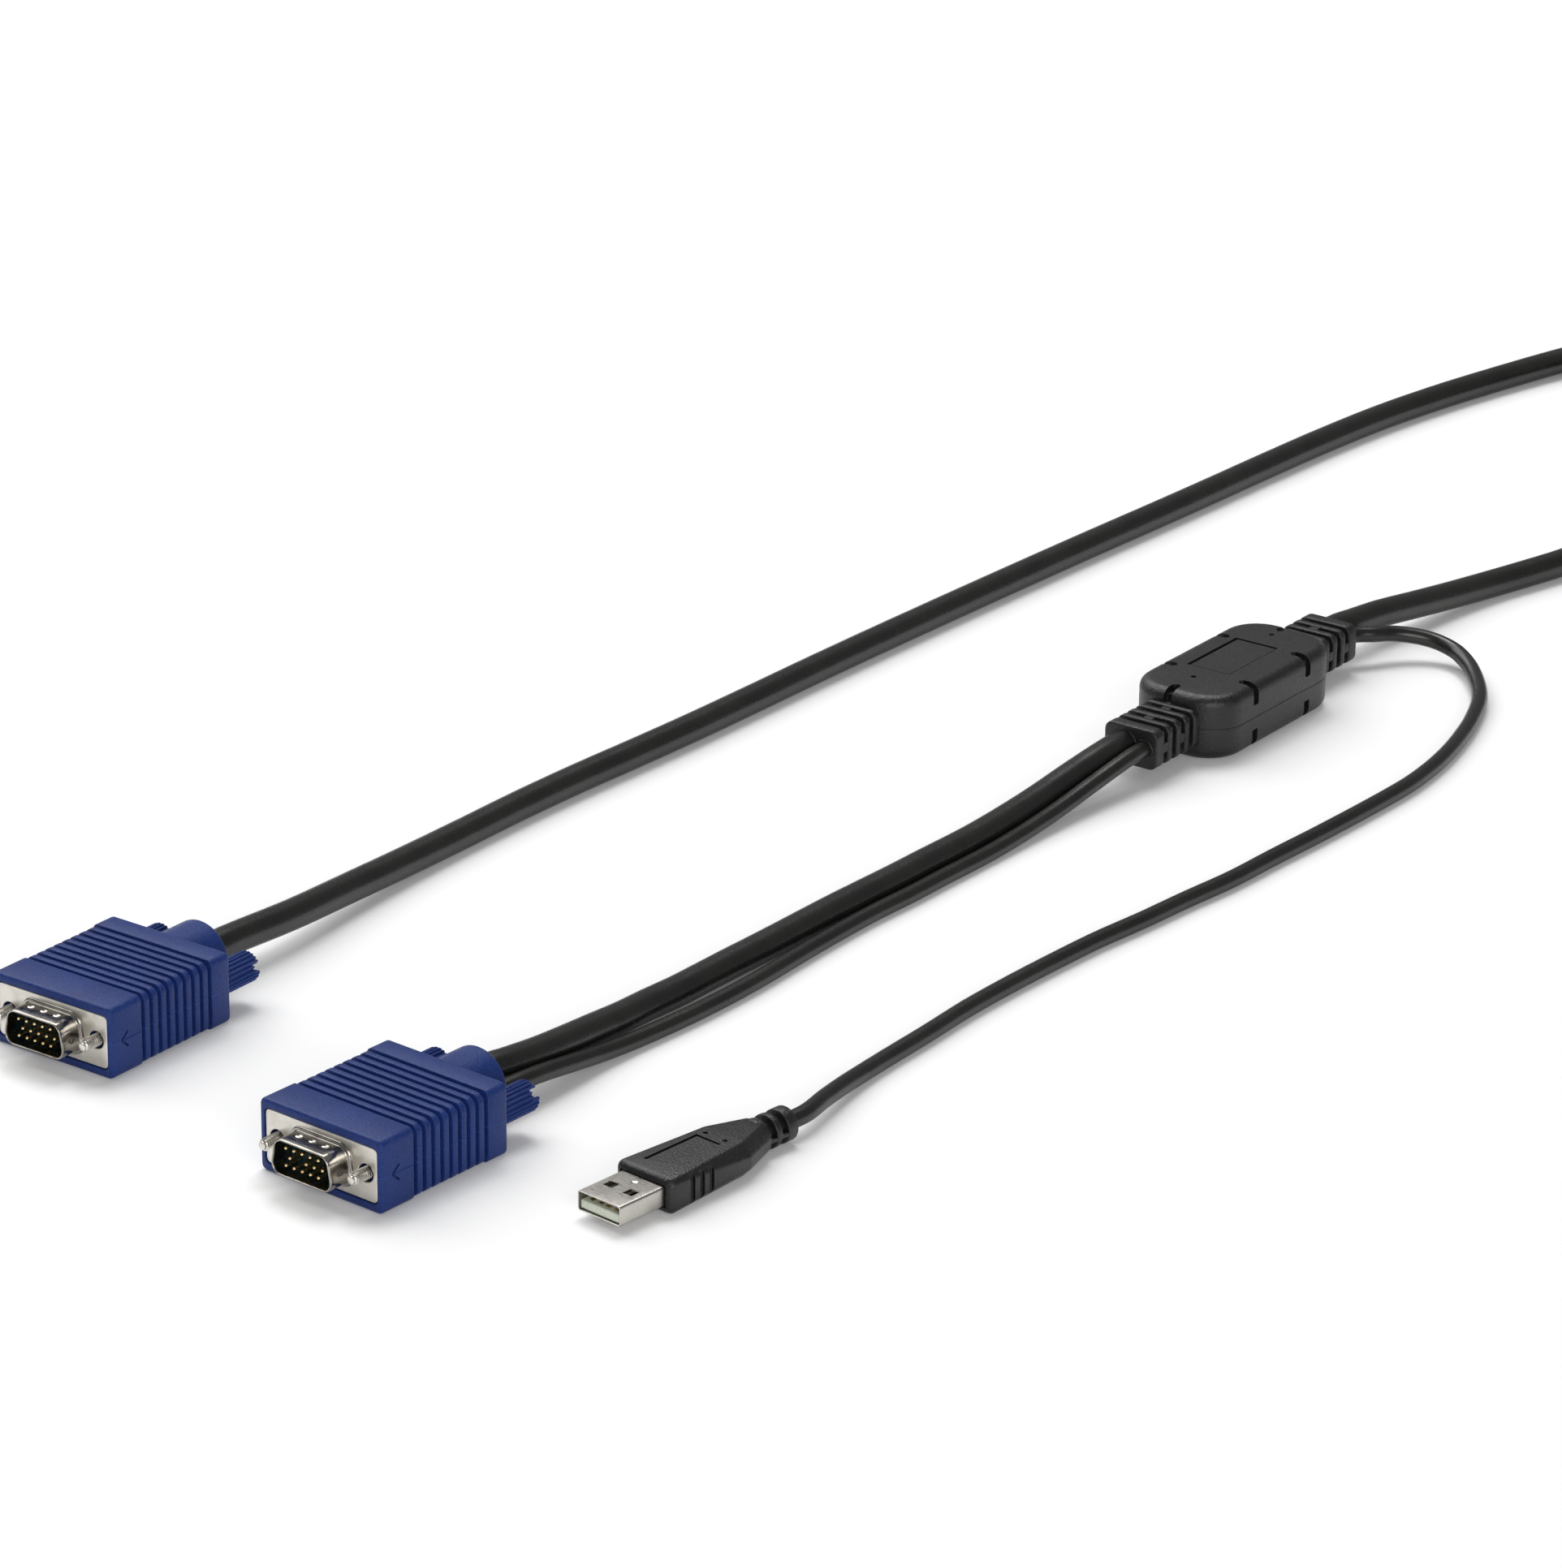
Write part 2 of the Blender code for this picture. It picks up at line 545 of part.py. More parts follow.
def pin_places():
    """Number, x and height of each contact, counted from the right of the lowest row."""
    places = []
    for row in range(3):
        shift = PIN_PITCH / 2 if row == 1 else 0.0
        for column in range(PINS_PER_ROW):
            number = (row + 1) * PINS_PER_ROW - column
            x = (column - (PINS_PER_ROW - 1) / 2) * PIN_PITCH + shift - PIN_PITCH / 4
            z = HOOD_HEIGHT / 2 + (row - 1) * PIN_ROW_PITCH
            places.append((number, x, z))
    return places


def insulator(name, root):
    """The dark block in the shroud's mouth, drilled for the contacts, with a shoulder behind the flange."""
    middle = HOOD_HEIGHT / 2
    back = INSULATOR_DEPTH - INSULATOR_FACE
    shoulder_start = FLANGE_SINK + FLANGE_THICKNESS + GAP
    mesh = prism([shroud_outline(SHELL_WALL + GAP)], -INSULATOR_FACE, (shoulder_start + back) / 2)
    piece = finished(mesh, name, root, "dark_insulator")
    half_width = INNER_MOULD_WIDTH / 2
    rise = INNER_MOULD_HEIGHT / 2
    shoulder = box((-half_width, shoulder_start, middle - rise), (half_width, back, middle + rise))
    combine(piece, "shoulder", shoulder, "UNION")
    bore = PIN_D + 2 * GAP
    holes = [bar(bore, -INSULATOR_FACE - GAP, back + GAP, x=x, z=z, steps=12) for _, x, z in pin_places()]
    combine(piece, "contact_holes", several(holes))
    return piece


def pins(prefix, root, missing):
    """The gold contacts with their rounded tips."""
    radius = PIN_D / 2
    tail = -(inner_mould_start() - GAP)
    profile = [(0, PIN_REACH), (radius * 0.6, PIN_REACH - radius * 0.2), (radius, PIN_REACH - radius),
               (radius, tail), (0, tail)]
    for number, x, z in pin_places():
        if number not in missing:
            turned(f"{prefix}_pin_{number:02d}", profile, root, "gold", x, z, steps=10)


def fluted_outline(x, z):
    """The round of a thumb grip with straight flutes along it."""
    points = []
    cell = 2 * math.pi / GRIP_FLUTES
    for index in range(GRIP_FLUTES):
        for share, depth in ((0.0, 0.0), (0.5, 0.0), (0.6, GRIP_FLUTE_DEPTH), (0.9, GRIP_FLUTE_DEPTH)):
            angle = (index + share) * cell
            radius = GRIP_D / 2 - depth
            points.append((x + radius * math.cos(angle), z + radius * math.sin(angle)))
    return points


def thumb_screw(prefix, root, side, slot_turn):
    """A captive screw: a steel rod through the hood, and a fluted grip with a driver slot on its end."""
    middle = HOOD_HEIGHT / 2
    x = side * SCREW_SPACING / 2
    hand = "left" if side < 0 else "right"
    thread = SCREW_THREAD_D / 2
    shank = SCREW_SHANK_D / 2
    shank_end = -(HOOD_LENGTH + GRIP_SOCKET_DEPTH)
    profile = [(0, SCREW_REACH), (thread - SCREW_CHAMFER, SCREW_REACH),
               (thread, SCREW_REACH - SCREW_CHAMFER), (thread, -SCREW_THREAD_LENGTH),
               (shank, -SCREW_THREAD_LENGTH), (shank, shank_end), (0, shank_end)]
    turned(f"{prefix}_{hand}_screw", profile, root, "nickel", x, middle, steps=20)
    start = HOOD_LENGTH + GAP
    end = start + GRIP_LENGTH
    solid = prism([fluted_outline(x, middle)], start, end)
    grip = finished(solid, f"{prefix}_{hand}_grip", root, "blue_hood")
    socket = bar(SCREW_SHANK_D + 2 * GAP, start - GAP, start + GRIP_SOCKET_DEPTH, x=x, z=middle, steps=16)
    combine(grip, "socket", socket)
    half_slot = GRIP_SLOT_WIDTH / 2
    slot = box((-GRIP_D, end - GRIP_SLOT_DEPTH, -half_slot), (GRIP_D, end + GAP, half_slot))
    slot.transform(Matrix.Translation((x, 0, middle)) @ Matrix.Rotation(slot_turn, 4, "Y"))
    combine(grip, "driver_slot", slot)


def video_plug(prefix, front, turn, slot_turn, missing=()):
    """A 15-pin video plug with everything in it."""
    root = new_root(f"{prefix}_plug", front, turn)
    hood(f"{prefix}_hood", root)
    front_shell(f"{prefix}_front_shell", root)
    insulator(f"{prefix}_insulator", root)
    pins(prefix, root, missing)
    middle = HOOD_HEIGHT / 2
    half_width = INNER_MOULD_WIDTH / 2
    start = inner_mould_start()
    mould = box((-half_width, start, middle - INNER_MOULD_HEIGHT / 2),
                (half_width, start + INNER_MOULD_LENGTH, middle + INNER_MOULD_HEIGHT / 2), HOOD_EDGE_R)
    finished(mould, f"{prefix}_inner_mould", root, "clear_mould")
    for side in (-1, 1):
        thumb_screw(prefix, root, side, slot_turn)
    return root


def octagon(half_width, half_height, chamfer):
    """A section with its four corners cut off, about its centre."""
    w, h, c = half_width, half_height, chamfer
    return [(-w, h - c), (-w, c - h), (c - w, -h), (w - c, -h),
            (w, c - h), (w, h - c), (w - c, h), (c - w, h)]


def loft(sections):
    """A solid through unlike sections: each is a place along Y and an outline about the middle height."""
    work = bmesh.new()
    rings = []
    for y, outline in sections:
        rings.append([work.verts.new((x, y, z + DATA_BODY_HEIGHT / 2)) for x, z in outline])
    for first, second in zip(rings, rings[1:]):
        for index in range(len(first)):
            following = (index + 1) % len(first)
            work.faces.new((first[index], first[following], second[following], second[index]))
    work.faces.new(rings[0])
    work.faces.new(rings[-1])
    return from_bmesh(work)


def ring_sector(inner_d, outer_d, start, end, steps=10):
    """Part of a flat ring between two angles."""
    angles = [math.radians(start + (end - start) * step / steps) for step in range(steps + 1)]
    outer = [(outer_d / 2 * math.cos(angle), outer_d / 2 * math.sin(angle)) for angle in angles]
    inner = [(inner_d / 2 * math.cos(angle), inner_d / 2 * math.sin(angle)) for angle in reversed(angles)]
    return outer + inner


def data_plug():
    """The small plug: steel shell, tongue with four contacts, and a black overmould with a slit boot."""
    root = new_root("data_plug", DATA_PLUG_FRONT, DATA_PLUG_TURN)
    middle = DATA_BODY_HEIGHT / 2
    body_front = DATA_SHELL_REACH
    taper_start = body_front + DATA_BODY_STRAIGHT
    taper_end = taper_start + DATA_BODY_TAPER
    half_width = DATA_BODY_WIDTH / 2
    edge = DATA_FRONT_EDGE_R
    sections = [
        (body_front, octagon(half_width - edge, middle - edge, DATA_CHAMFER_FRONT)),
        (body_front + edge, octagon(half_width, middle, DATA_CHAMFER_FRONT)),
        (taper_start, octagon(half_width, middle, DATA_CHAMFER_REAR)),
        (taper_end, octagon(DATA_BODY_REAR_WIDTH / 2, DATA_BODY_REAR_HEIGHT / 2, DATA_CHAMFER_REAR)),
    ]
    body = finished(loft(sections), "data_body", root, "black_mould")
    boot_end = taper_end + DATA_BOOT_LENGTH
    combine(body, "boot", bar(DATA_BOOT_D, taper_end - edge, boot_end, z=middle, steps=24), "UNION")
    slits = []
    for row, bridge_turn in enumerate((0, 90)):
        start = taper_end + DATA_BOOT_SLIT / 2 + row * DATA_BOOT_SLIT_PITCH
        for half in (0, 180):
            first = bridge_turn + half + DATA_BOOT_BRIDGE
            last = bridge_turn + half + 180 - DATA_BOOT_BRIDGE
            sector = ring_sector(DATA_BOOT_CORE_D, 2 * DATA_BOOT_D, first, last)
            slits.append(prism([moved(sector, z=middle)], start, start + DATA_BOOT_SLIT))
    combine(body, "boot_slits", several(slits))
    socket = rectangle(DATA_SHELL_WIDTH + 2 * GAP, DATA_SHELL_HEIGHT + 2 * GAP, z=middle)
    combine(body, "shell_socket", prism([socket], body_front - edge, body_front + DATA_SHELL_ROOT + GAP))
    grooves = []
    for side in (-1, 1):
        for index in range(DATA_GRIP_GROOVES):
            start = body_front + DATA_GROOVE_FROM_FRONT + index * DATA_GROOVE_PITCH
            wall = side * half_width
            low = (wall - DATA_GROOVE_DEPTH, start, -edge)
            high = (wall + DATA_GROOVE_DEPTH, start + DATA_GROOVE_WIDTH, DATA_BODY_HEIGHT + edge)
            grooves.append(box(low, high))
    combine(body, "grip_grooves", several(grooves))
    data_shell(root, middle)
    data_tongue(root, middle)
    return root


def data_shell(root, middle):
    """The folded steel shell with two latch windows on each broad side."""
    outer = rounded(rectangle(DATA_SHELL_WIDTH, DATA_SHELL_HEIGHT, z=middle), DATA_SHELL_CORNER_R, 3)
    wall = DATA_SHELL_WALL
    inner = rectangle(DATA_SHELL_WIDTH - 2 * wall, DATA_SHELL_HEIGHT - 2 * wall, z=middle)
    inner = rounded(inner, DATA_SHELL_CORNER_R - wall, 3)
    sleeve = prism([outer, inner], 0, DATA_SHELL_REACH + DATA_SHELL_ROOT)
    shell = finished(sleeve, "data_shell", root, "nickel")
    windows = []
    for side in (-1, 1):
        for rise in (-1, 1):
            x = side * DATA_WINDOW_SPACING / 2
            face = middle + rise * DATA_SHELL_HEIGHT / 2
            low = (x - DATA_WINDOW / 2, DATA_WINDOW_FROM_TIP - DATA_WINDOW / 2, face - 2 * wall)
            high = (x + DATA_WINDOW / 2, DATA_WINDOW_FROM_TIP + DATA_WINDOW / 2, face + 2 * wall)
            windows.append(box(low, high))
    combine(shell, "windows", several(windows))


def data_tongue(root, middle):
    """The pale tongue in the lower half of the shell, with its four contacts along the top."""
    inside = DATA_SHELL_WIDTH / 2 - DATA_SHELL_WALL - GAP
    floor = middle - DATA_SHELL_HEIGHT / 2 + DATA_SHELL_WALL + GAP
    top = floor + TONGUE_THICKNESS
    end = DATA_SHELL_REACH + DATA_SHELL_ROOT
    slab = box((-inside, TONGUE_RECESS, floor), (inside, end, top))
    tongue = finished(slab, "data_tongue", root, "pale_tongue")
    contacts = []
    for x in CONTACT_SPACINGS:
        low = (x - CONTACT_WIDTH / 2, CONTACT_RECESS, top - CONTACT_HEIGHT)
        high = (x + CONTACT_WIDTH / 2, CONTACT_RECESS + CONTACT_LENGTH, top + CONTACT_HEIGHT)
        contacts.append(box(low, high))
    combine(tongue, "contacts", several(contacts), "UNION")


def slit_outlines(bridges_at_sides):
    """The two C-shaped cuts of one relief slit, with a bridge left in the middle of two opposite faces."""
    half_width, half_height = RELIEF_WIDTH / 2, RELIEF_HEIGHT / 2
    if not bridges_at_sides:
        half_width, half_height = half_height, half_width
    out_x, out_z = half_width + RELIEF_SLIT_DEPTH, half_height + RELIEF_SLIT_DEPTH
    in_x, in_z = half_width - RELIEF_SLIT_DEPTH, half_height - RELIEF_SLIT_DEPTH
    foot = RELIEF_BRIDGE / 2
    half = [(-out_x, foot), (-out_x, out_z), (out_x, out_z), (out_x, foot),
            (in_x, foot), (in_x, in_z), (-in_x, in_z), (-in_x, foot)]
    both = [half, [(x, -z) for x, z in half]]
    if not bridges_at_sides:
        both = [[(z, x) for x, z in outline] for outline in both]
    return [moved(outline, z=CONVERTER_HEIGHT / 2) for outline in both]


def edge_slot(half_span, axis, places, drop):
    """Slots that wrap the top and bottom edges of the converter, at the given places along the axis."""
    height = CONVERTER_HEIGHT
    inner = half_span - SIDE_SLOT_DEPTH
    turn = half_span - CONVERTER_EDGE_R
    out = half_span + SIDE_SLOT_DEPTH
    start = half_span - SIDE_SLOT_REACH
    top = [(start, height + SIDE_SLOT_DEPTH), (out, height + SIDE_SLOT_DEPTH), (out, height - drop),
           (inner, height - drop), (inner, height - CONVERTER_EDGE_R), (turn, height - SIDE_SLOT_DEPTH),
           (start, height - SIDE_SLOT_DEPTH)]
    outlines = []
    for across in (-1, 1):
        outlines.append([(across * x, z) for x, z in top])
        outlines.append([(across * x, height - z) for x, z in top])
    half_slot = SIDE_SLOT_WIDTH / 2
    slots = []
    for place in places:
        slots += [prism([outline], place - half_slot, place + half_slot, axis) for outline in outlines]
    return slots


def converter():
    """The converter: one moulding with a slit relief at each end, and a board and chip in its hollow."""
    root = new_root("converter", (0, 0), CONVERTER_TURN)
    middle = CONVERTER_HEIGHT / 2
    half_length = CONVERTER_LENGTH / 2
    plan = rounded(rectangle(CONVERTER_WIDTH, CONVERTER_LENGTH), CONVERTER_CORNER_R, 8)
    body = finished(prism([plan], 0, CONVERTER_HEIGHT, axis="Z"), "converter_housing", root, "black_mould")
    edge = body.modifiers.new("edge", "BEVEL")
    edge.width = CONVERTER_EDGE_R
    edge.segments = 4
    edge.limit_method = "ANGLE"
    edge.angle_limit = math.radians(60)
    relief = rounded(rectangle(RELIEF_WIDTH, RELIEF_HEIGHT, z=middle), RELIEF_CORNER_R)
    relief_end = half_length + RELIEF_LENGTH
    reliefs = [prism([relief], half_length - CONVERTER_CORNER_R, relief_end),
               prism([relief], -relief_end, CONVERTER_CORNER_R - half_length)]
    combine(body, "reliefs", several(reliefs), "UNION")
    slits = []
    for end in (-1, 1):
        for row in range(RELIEF_SLITS):
            far = relief_end - RELIEF_END_BLOCK - row * RELIEF_SLIT_PITCH
            span = sorted((end * far, end * (far - RELIEF_SLIT_WIDTH)))
            slits += [prism([outline], *span) for outline in slit_outlines(row % 2 == 0)]
    combine(body, "relief_slits", several(slits))
    slots = edge_slot(CONVERTER_WIDTH / 2, "Y", (-SIDE_SLOT_OFFSET, SIDE_SLOT_OFFSET), SIDE_SLOT_DROP)
    slots += edge_slot(half_length, "X", (END_SLOT_X,), END_SLOT_DROP)
    combine(body, "edge_slots", several(slots))
    combine(body, "marks", several(converter_marks()))
    hollow_low = middle - BOARD_THICKNESS - GAP
    hollow_high = middle + CHIP_HEIGHT + 2 * GAP
    hollow = box((-BOARD_WIDTH / 2 - GAP, -BOARD_LENGTH / 2 - GAP, hollow_low),
                 (BOARD_WIDTH / 2 + GAP, BOARD_LENGTH / 2 + GAP, hollow_high))
    combine(body, "hollow", hollow)
    bores = []
    for end in (-1, 1):
        span = sorted((end * BOARD_LENGTH / 2, end * (relief_end + GAP)))
        bores += [bar(WIRE_BORE_D, *span, x=x, z=middle, steps=12) for x in (THICK_OFFSET, THIN_OFFSET)]
    combine(body, "wire_bores", several(bores))
    board_low = (-BOARD_WIDTH / 2, -BOARD_LENGTH / 2, middle - BOARD_THICKNESS)
    board = box(board_low, (BOARD_WIDTH / 2, BOARD_LENGTH / 2, middle))
    finished(board, "circuit_board", root, "green_board")
    chip_half = CHIP_SIZE / 2
    chip = box((-chip_half, -chip_half, middle + GAP), (chip_half, chip_half, middle + GAP + CHIP_HEIGHT))
    finished(chip, "controller_chip", root, "black_chip")
    return root


def converter_marks():
    """Two strokes of a label frame and two round dots, all sunk a little in the top face."""
    top = CONVERTER_HEIGHT
    left, right = FRAME_LEFT, FRAME_LEFT + FRAME_WIDTH
    near, far = FRAME_NEAR, FRAME_NEAR + FRAME_LENGTH
    line = FRAME_LINE
    frame = [(left, near), (left + line, near), (left + line, far - line),
             (right, far - line), (right, far), (left, far)]
    marks = [prism([frame], top - FRAME_DEPTH, top + FRAME_DEPTH, axis="Z")]
    for end in (-1, 1):
        dot = circle(DOT_D, DOT_X, DOT_MIDDLE_Y + end * DOT_OFFSET, steps=12)
        marks.append(prism([dot], top - DOT_DEPTH, top + DOT_DEPTH, axis="Z"))
    return marks


def world_point(root, x, y, z):
    """A place in a connector's own frame, in the object's frame."""
    turn = Matrix.Rotation(root.rotation_euler.z, 4, "Z")
    return Matrix.Translation(root.location) @ turn @ Vector((x, y, z))


def smooth(points):
    """Close points on one smooth curve through the given points."""
    points = [Vector(point) for point in points]
    ends = [2 * points[0] - points[1], *points, 2 * points[-1] - points[-2]]
    curve = []
    for before, first, second, after in zip(ends, ends[1:], ends[2:], ends[3:]):
        for step in range(SMOOTH_STEPS):
            t = step / SMOOTH_STEPS
            curve.append(0.5 * (2 * first + (second - before) * t
                                + (2 * before - 5 * first + 4 * second - after) * t ** 2
                                + (3 * first - before - 3 * second + after) * t ** 3))
    return [*curve, points[-1]]


def evenly(points, spacing):
    """Points at equal distances along a line, its ends among them."""
    lengths = [0.0]
    for first, second in zip(points, points[1:]):
        lengths.append(lengths[-1] + (second - first).length)
    count = max(2, round(lengths[-1] / spacing))
    places = []
    segment = 0
    for index in range(count + 1):
        target = lengths[-1] * index / count
        while segment < len(points) - 2 and lengths[segment + 1] < target:
            segment += 1
        share = (target - lengths[segment]) / (lengths[segment + 1] - lengths[segment])
        places.append(points[segment].lerp(points[segment + 1], share))
    return places


def tube(name, points, diameter, resolution):
    """A cable along a smooth curve through the points, its first and last stretches straight."""
    between = smooth(points)[SMOOTH_STEPS:-SMOOTH_STEPS]
    places = [points[0], *evenly(between, CORD_CELL * diameter), points[-1]]
    curve = bpy.data.curves.new(name, "CURVE")
    curve.dimensions = "3D"
    curve.bevel_depth = diameter / 2
    curve.bevel_resolution = resolution
    curve.use_fill_caps = True
    spline = curve.splines.new("POLY")
    spline.points.add(len(places) - 1)
    for point, place in zip(spline.points, places):
        point.co = (*place, 1)
    curve.materials.append(MATERIALS["black_cable"])
    piece = bpy.data.objects.new(name, curve)
    PARTS.objects.link(piece)
    return piece


def route(start, start_way, middle_mm, end=None, end_way=None):
    """The points of a cable: straight out of its gland, along its route, straight into the next gland."""
    points = [start + start_way * GAP, start + start_way * STRAIGHT_OUT]
    points += [Vector(point) * MM for point in middle_mm]
    if end is not None:
        points += [end - end_way * STRAIGHT_OUT, end - end_way * GAP]
    return points


def cables(console, server, data, block):
    """The cables between the connectors, and the coil of spare cable with its tie."""
    boot_end = HOOD_LENGTH + BOOT_LENGTH
    plug_middle = HOOD_HEIGHT / 2
    block_middle = CONVERTER_HEIGHT / 2
    relief_end = CONVERTER_LENGTH / 2 + RELIEF_LENGTH
    back = {}
    for root in (console, server, data, block):
        back[root] = world_point(root, 0, 1, 0) - world_point(root, 0, 0, 0)
    console_exit = world_point(console, 0, boot_end, plug_middle)
    tube("console_cable", route(console_exit, back[console], CONSOLE_ROUTE_MM), MAIN_CABLE_D, 4)
    converter_exit = world_point(block, THICK_OFFSET, relief_end, block_middle)
    tube("converter_cable", route(converter_exit, back[block], CONVERTER_ROUTE_MM), MAIN_CABLE_D, 4)
    for name, offset, drop, middle_mm, diameter, resolution in (
            ("video_pigtail", THICK_OFFSET, 0, VIDEO_PIGTAIL_ROUTE_MM, MAIN_CABLE_D, 4),
            ("data_pigtail", THIN_OFFSET, THIN_DROP_IN_BOOT, DATA_PIGTAIL_ROUTE_MM, THIN_CABLE_D, 3)):
        start = world_point(server, offset, boot_end, plug_middle - drop)
        end = world_point(block, offset, -relief_end, block_middle)
        tube(name, route(start, back[server], middle_mm, end, back[block]), diameter, resolution)
    lead_start = world_point(block, THIN_OFFSET, relief_end, block_middle)
    data_end = DATA_SHELL_REACH + DATA_BODY_STRAIGHT + DATA_BODY_TAPER + DATA_BOOT_LENGTH
    lead_end = world_point(data, 0, data_end, DATA_BODY_HEIGHT / 2)
    lead = route(lead_start, back[block], DATA_LEAD_ROUTE_MM, lead_end, -back[data])
    tube("data_lead", lead, THIN_CABLE_D, 3)
    coil_and_tie()


def grown(outline, distance):
    """A convex outline, given counter-clockwise, moved outwards by a distance."""
    points = [Vector(point) for point in outline]
    sides = [(after - here).normalized() for here, after in zip(points, points[1:] + points[:1])]
    normals = [Vector((side.y, -side.x)) for side in sides]
    outer = []
    for index, point in enumerate(points):
        first, second = normals[index - 1], normals[index]
        outer.append(tuple(point + (first + second) * distance / (1 + first.dot(second))))
    return outer


def coil_and_tie():
    """The coil of spare cable as one ring, a full layer on its tie, a turn on top, and the flat tie."""
    coil_root = new_root("coil", COIL_CENTRE, 0)
    radius = MAIN_CABLE_D / 2
    cut = radius / 2
    lift = TIE_THICKNESS + GAP
    inner = COIL_INNER_TURN_R - radius
    outer = COIL_INNER_TURN_R + 3 * radius
    shoulder = lift + 2 * radius
    top = lift + COIL_LAYERS_HEIGHT
    profile = [(inner + cut, lift), (outer - cut, lift), (outer, lift + cut), (outer, shoulder - cut),
               (outer - cut, shoulder), (outer - radius, top - radius), (outer - radius, top - cut),
               (outer - radius - cut, top), (inner + radius + cut, top), (inner + radius, top - cut),
               (inner + radius, top - radius), (inner + cut, shoulder), (inner, shoulder - cut),
               (inner, lift + cut)]
    work = bmesh.new()
    corners = [work.verts.new((across, 0, height)) for across, height in reversed(profile)]
    for first, second in zip(corners, corners[1:] + corners[:1]):
        work.edges.new((first, second))
    mesh = bpy.data.meshes.new("coil")
    work.to_mesh(mesh)
    work.free()
    coil = finished(mesh, "cable_coil", coil_root, "black_cable")
    screw = coil.modifiers.new("turn", "SCREW")
    screw.steps = COIL_STEPS
    screw.render_steps = COIL_STEPS
    screw.use_merge_vertices = True
    screw.merge_threshold = 0.005 * MM
    near = inner - GAP
    hole = grown([(near, lift), (outer, lift), (outer, shoulder - cut), (outer - radius, top),
                  (inner + radius - GAP, top), (near, shoulder - cut)], GAP)
    band = prism([grown(hole, TIE_THICKNESS), hole], -TIE_WIDTH / 2, TIE_WIDTH / 2, axis="X")
    finished(band, "coil_tie", coil_root, "tie_plastic")


clear_scene()
PARTS = new_collection("kvm_cable")
CUTTERS = new_collection("cutters")
MATERIALS = {name: make_material(name) for name in COLOURS}

console_root = video_plug("console", CONSOLE_PLUG_FRONT, CONSOLE_PLUG_TURN, CONSOLE_SLOT_TURN)
server_root = video_plug("server", SERVER_PLUG_FRONT, SERVER_PLUG_TURN, SERVER_SLOT_TURN,
                         MISSING_SERVER_PINS)
data_root = data_plug()
converter_root = converter()
cables(console_root, server_root, data_root, converter_root)
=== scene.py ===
# %% [markdown]
# # A rack console cable
# One long black cable joins two blue 15-pin video plugs through a small converter block, and a
# thinner lead runs from the block to a data plug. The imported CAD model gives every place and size.
# This script keeps that frame and gives each piece the edges, grooves, threads and finishes that
# the real moulded and stamped parts have. Lengths below are in millimetres until the last step of
# each piece, because that is how a maker's drawing gives them.

# %% Load the frame
import math

import bmesh
import bpy
from mathutils import Matrix, Vector


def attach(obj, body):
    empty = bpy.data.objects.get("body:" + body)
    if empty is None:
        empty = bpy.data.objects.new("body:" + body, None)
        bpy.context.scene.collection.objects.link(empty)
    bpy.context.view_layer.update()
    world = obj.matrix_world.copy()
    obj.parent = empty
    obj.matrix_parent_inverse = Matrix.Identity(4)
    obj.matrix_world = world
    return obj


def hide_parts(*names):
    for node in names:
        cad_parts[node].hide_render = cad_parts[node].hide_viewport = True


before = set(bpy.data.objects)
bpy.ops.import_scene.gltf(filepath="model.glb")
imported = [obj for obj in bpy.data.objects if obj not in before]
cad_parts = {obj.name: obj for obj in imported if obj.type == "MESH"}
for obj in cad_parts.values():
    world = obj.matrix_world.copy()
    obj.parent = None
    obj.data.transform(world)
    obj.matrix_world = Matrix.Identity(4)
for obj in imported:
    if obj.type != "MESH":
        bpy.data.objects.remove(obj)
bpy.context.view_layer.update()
MM = 0.001

# %% [markdown]
# ## The camera
# The photograph was taken from in front and to the right, a little above the table, with a long
# lens: parallel edges hardly converge. The position was worked out from measured points of the
# plugs and the block, so it is written here as a target, two angles, a small roll and a distance.

# %% Camera
TARGET = Vector((-57.8, -104.2, 0)) * MM
AZIMUTH, ELEVATION, ROLL = (math.radians(angle) for angle in (39.28, 22.25, 0.6))
DISTANCE = 1481 * MM
LENS = 142.56

look = Vector((-math.sin(AZIMUTH) * math.cos(ELEVATION),
               math.cos(AZIMUTH) * math.cos(ELEVATION), -math.sin(ELEVATION)))
level = Vector((math.cos(AZIMUTH), math.sin(AZIMUTH), 0))
above = level.cross(look)
right = level * math.cos(ROLL) + above * math.sin(ROLL)
up = above * math.cos(ROLL) - level * math.sin(ROLL)

camera_data = bpy.data.cameras.new("camera")
camera_data.lens = LENS
camera_data.sensor_width = 36
camera_data.sensor_fit = "HORIZONTAL"
camera = bpy.data.objects.new("camera", camera_data)
bpy.context.scene.collection.objects.link(camera)
turn = Matrix((right, up, -look)).transposed().to_4x4()
camera.matrix_world = Matrix.Translation(TARGET - look * DISTANCE) @ turn
bpy.context.scene.camera = camera
print("camera at", [round(value, 4) for value in camera.matrix_world.translation])

# %% [markdown]
# ## Materials
# Every finish is made from nodes. Two small helpers keep that readable: one turns the sRGB hex
# colour that a person would pick into the linear numbers that Blender works in, and one adds a
# node with its settings and links in a single line.

# %% Helpers for materials
def linear(hex_colour):
    """The linear RGBA of an sRGB colour such as "2b3a84"."""
    values = [int(hex_colour[i:i + 2], 16) / 255 for i in (0, 2, 4)]
    return (*[v / 12.92 if v <= 0.04045 else ((v + 0.055) / 1.055) ** 2.4 for v in values], 1.0)


